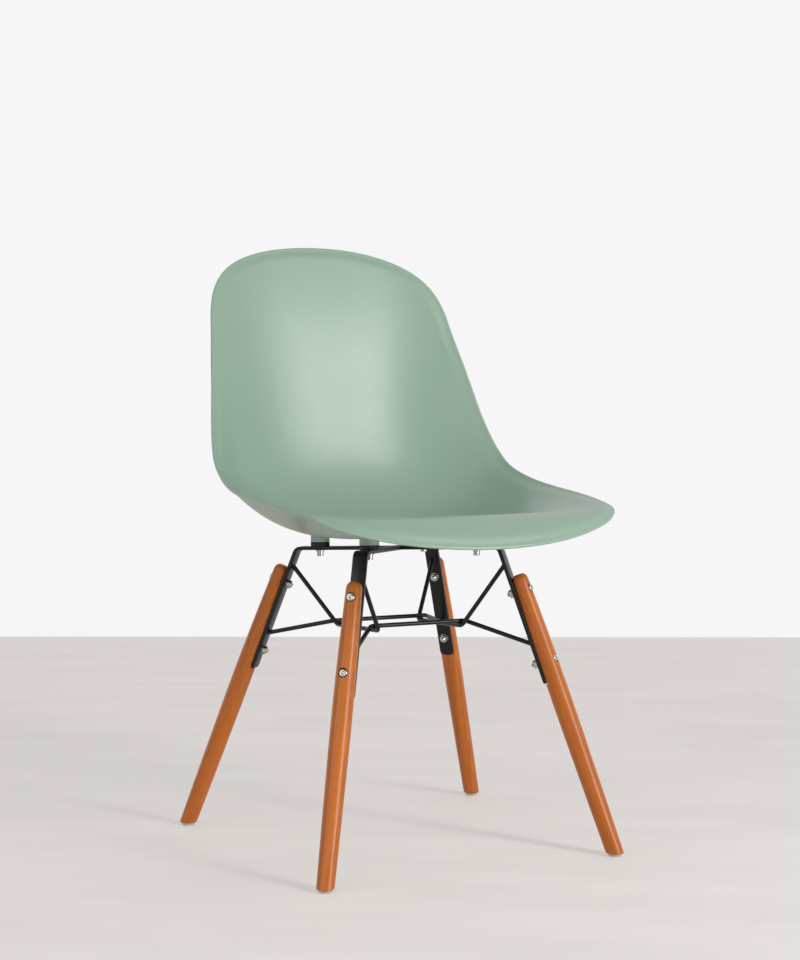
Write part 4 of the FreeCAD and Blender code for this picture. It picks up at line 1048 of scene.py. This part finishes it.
SCREW = {"radius": 3.0, "head_radius": 5.7, "head_height": 3.2, "flats": 4.0, "depth": 2.0,
         "washer": 1.2, "nut_flats": 10.0, "nut_height": 5.0, "stickout": 2.5}
for corner in CORNERS:
    origin, axes = strap_place(corner)
    heads, nuts = [], []
    for depth in screw_depths(corner):
        seat = on_strap(corner, [LEG["offset"] + LEG["bore_floor"], 0, -depth])
        heads.append(button_head(seat, axes, SCREW["head_radius"], SCREW["head_height"],
                                 SCREW["flats"], SCREW["depth"]))
        face = -FRAME["bar_thickness"] / 2 - SCREW["washer"]
        inner = on_strap(corner, [face, 0, -depth])
        inward_axes = np.stack([-axes[0], axes[2], axes[1]])
        nuts.append(hexagon_nut(inner, inward_axes, SCREW["nut_flats"], SCREW["nut_height"]))
        grip = LEG["offset"] + LEG["bore_floor"] - face
        heads.append(threaded_end(grip - 2.0, SCREW["nut_height"] + SCREW["stickout"] + 2.0, seat,
                                  inward_axes, SCREW["radius"]))
    piece("domed_leg_screws_" + corner, heads, ZINC, "zinc_steel", "leg_screws_" + corner)
    piece("bevelled_leg_nuts_" + corner, nuts, ZINC, "zinc_steel", "leg_nuts_" + corner)

KEPT = {"seat_inserts": BRASS, "seat_bolts": ZINC, "seat_spring_washers": ZINC, "seat_washers": ZINC}
for corner in CORNERS:
    KEPT["leg_washers_" + corner] = ZINC
    KEPT["glide_nail_" + corner] = ZINC
    KEPT["rubber_spacer_" + corner] = RUBBER
    KEPT["glide_" + corner] = CLEAR
for node, material in KEPT.items():
    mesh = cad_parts[node].data
    mesh.materials.clear()
    mesh.materials.append(material)


# Camera

CAMERA = {"azimuth": -0.46745, "pitch": 0.05096, "roll": 0.00121, "lens": 75.198,
          "place": (-1.22268, -2.43209, 0.62948)}


def place_camera():
    """Camera at the photograph's viewing angle: turned from +Y by the azimuth, tipped down by the
    pitch and rolled, its lens for a 36 mm sensor on the frame's long side."""
    azimuth, pitch, roll = CAMERA["azimuth"], CAMERA["pitch"], CAMERA["roll"]
    ahead = Vector((-math.sin(azimuth) * math.cos(pitch), math.cos(azimuth) * math.cos(pitch),
                    -math.sin(pitch)))
    level = Vector((math.cos(azimuth), math.sin(azimuth), 0.0))
    upright = level.cross(ahead)
    right = level * math.cos(roll) + upright * math.sin(roll)
    up = upright * math.cos(roll) - level * math.sin(roll)
    data = bpy.data.cameras.new("camera")
    data.lens = CAMERA["lens"]
    data.sensor_width = 36.0
    data.clip_start, data.clip_end = 0.05, 60.0
    camera = bpy.data.objects.new("camera", data)
    camera.matrix_world = Matrix((right, up, -ahead)).transposed().to_4x4()
    camera.location = CAMERA["place"]
    bpy.context.scene.collection.objects.link(camera)
    bpy.context.scene.camera = camera
    return camera, ahead


camera, view_ahead = place_camera()


# Floor, backdrop and light

STAGE = {"wall_from_camera": 4.85, "half_size": 9.0, "wall_height": 5.0, "floor_glow": 0.45}


def stage_sheet(name, corners, material):
    """Large flat sheet of the stage, four corners given in order."""
    mesh = bpy.data.meshes.new(name)
    mesh.from_pydata([tuple(c) for c in corners], [], [(0, 1, 2, 3)])
    mesh.materials.append(material)
    sheet = bpy.data.objects.new(name, mesh)
    bpy.context.scene.collection.objects.link(sheet)
    return sheet


def one_sided(tree, shader):
    """Leaves out the sheet's back, so that it doesn't hide the chair from behind or below."""
    back = add(tree, "NewGeometry").outputs["Backfacing"]
    clear = add(tree, "BsdfTransparent")
    both = add(tree, "MixShader", {0: back, 1: shader, 2: clear.outputs[0]})
    tree.links.new(both.outputs[0], tree.nodes["Material Output"].inputs["Surface"])


def seen_straight(tree):
    """1 to the camera, in mirrors and through glass, 0 to the light that falls on the chair."""
    seen = add(tree, "LightPath").outputs
    straight = maths(tree, "MAXIMUM", seen["Is Camera Ray"], seen["Is Glossy Ray"])
    return maths(tree, "MAXIMUM", straight, seen["Is Transmission Ray"])


def floor_material():
    """Pale smooth floor with cloudy streaks across the view. To the camera a share of it shows
    its own plain colour, and the rest keeps the shadows."""
    material, tree, principled, place = new_material("pale_floor", specular_ior_level=0.3)
    tint = placed(tree, UNEVEN_TINT, vector=place, colour=colour(238, 232, 229),
                  patch_scale=1.6, amount=0.03)
    across = math.atan2(-view_ahead.x, view_ahead.y)
    streaks = add(tree, "Mapping", {"Vector": place, "Rotation": (0.0, 0.0, across),
                                    "Scale": (1.0, 0.28, 1.0)}, vector_type="TEXTURE")
    cloudy = placed(tree, UNEVEN_TINT, vector=streaks.outputs[0], colour=tint.outputs["Colour"],
                    patch_scale=2.6, amount=0.075)
    dressed(tree, principled, cloudy.outputs["Colour"], (cloudy.outputs["Patches"], 0.2, 0.5))
    glow = add(tree, "Emission", {"Color": cloudy.outputs["Colour"], "Strength": 1.0})
    straight = maths(tree, "MULTIPLY", seen_straight(tree), STAGE["floor_glow"])
    shown = add(tree, "MixShader", {0: straight, 1: principled.outputs[0], 2: glow.outputs[0]})
    one_sided(tree, shown.outputs[0])
    return material


def wall_material():
    """White backdrop: its own plain colour to the camera, and matt white to the light."""
    material, tree, principled, place = new_material("white_wall", roughness=0.9)
    tint = placed(tree, UNEVEN_TINT, vector=place, colour=colour(246, 246, 246),
                  patch_scale=0.6, amount=0.004)
    tree.links.new(tint.outputs["Colour"], principled.inputs["Base Color"])
    glow = add(tree, "Emission", {"Color": tint.outputs["Colour"], "Strength": 1.0})
    shown = add(tree, "MixShader", {0: seen_straight(tree), 1: principled.outputs[0],
                                    2: glow.outputs[0]})
    one_sided(tree, shown.outputs[0])
    return material


def build_stage():
    """Floor at the glides' feet, and a backdrop square to the view behind the chair."""
    far = STAGE["half_size"]
    stage_sheet("floor", [(-far, -far, 0), (far, -far, 0), (far, far, 0), (-far, far, 0)],
                floor_material())
    level = Vector((view_ahead.x, view_ahead.y, 0.0)).normalized()
    side = Vector((level.y, -level.x, 0.0))
    foot = Vector((camera.location.x, camera.location.y, 0.0)) + level * STAGE["wall_from_camera"]
    top = Vector((0.0, 0.0, STAGE["wall_height"]))
    low = Vector((0.0, 0.0, -0.02))
    stage_sheet("backdrop", [foot - side * far + low, foot + side * far + low,
                             foot + side * far + top, foot - side * far + top], wall_material())


def area_light(name, azimuth, elevation, distance, size, power, shade=(1.0, 1.0, 1.0)):
    """Soft rectangular lamp aimed at the middle of the chair. The azimuth turns from the front
    (-Y) towards +X."""
    a, e = math.radians(azimuth), math.radians(elevation)
    towards = Vector((math.sin(a) * math.cos(e), -math.cos(a) * math.cos(e), math.sin(e)))
    data = bpy.data.lights.new(name, "AREA")
    data.shape = "RECTANGLE"
    data.size, data.size_y = size
    data.energy = power
    data.color = shade
    lamp = bpy.data.objects.new(name, data)
    lamp.location = Vector((0.0, 0.0, 0.45)) + towards * distance
    lamp.rotation_mode = "QUATERNION"
    lamp.rotation_quaternion = towards.to_track_quat("Z", "Y")
    bpy.context.scene.collection.objects.link(lamp)
    return lamp


def world_light():
    """Even light of a white room, and the backdrop's own white to the camera and in mirrors."""
    world = bpy.data.worlds.new("white_room")
    bpy.context.scene.world = world
    world.use_nodes = True
    tree = world.node_tree
    background = tree.nodes["Background"]
    seen = add(tree, "LightPath").outputs
    white = add(tree, "Background", {"Color": colour(244, 244, 244), "Strength": 1.0})
    room = add(tree, "MixShader", {0: seen["Is Camera Ray"], 1: background.outputs[0],
                                   2: white.outputs[0]})
    background.inputs["Color"].default_value = (1.0, 1.0, 1.0, 1.0)
    mirrored = maths(tree, "MAXIMUM", seen["Is Glossy Ray"], seen["Is Transmission Ray"])
    strength = mixed_value(tree, mirrored, ROOM_LIGHT["diffuse"], ROOM_LIGHT["mirrored"])
    tree.links.new(strength, background.inputs["Strength"])
    tree.links.new(room.outputs[0], tree.nodes["World Output"].inputs["Surface"])


ROOM_LIGHT = {"diffuse": 0.40, "mirrored": 0.55}
LAMPS = {
    "key": (24, 16, 3.0, (0.42, 2.5), 60.0),
    "left_fill": (-82, 20, 3.0, (1.0, 1.8), 12.0),
    "front_fill": (-48, 16, 3.0, (1.0, 1.4), 7.0),
}
build_stage()
world_light()
for name, values in LAMPS.items():
    area_light(name, *values)
bpy.context.scene.view_settings.view_transform = "Standard"
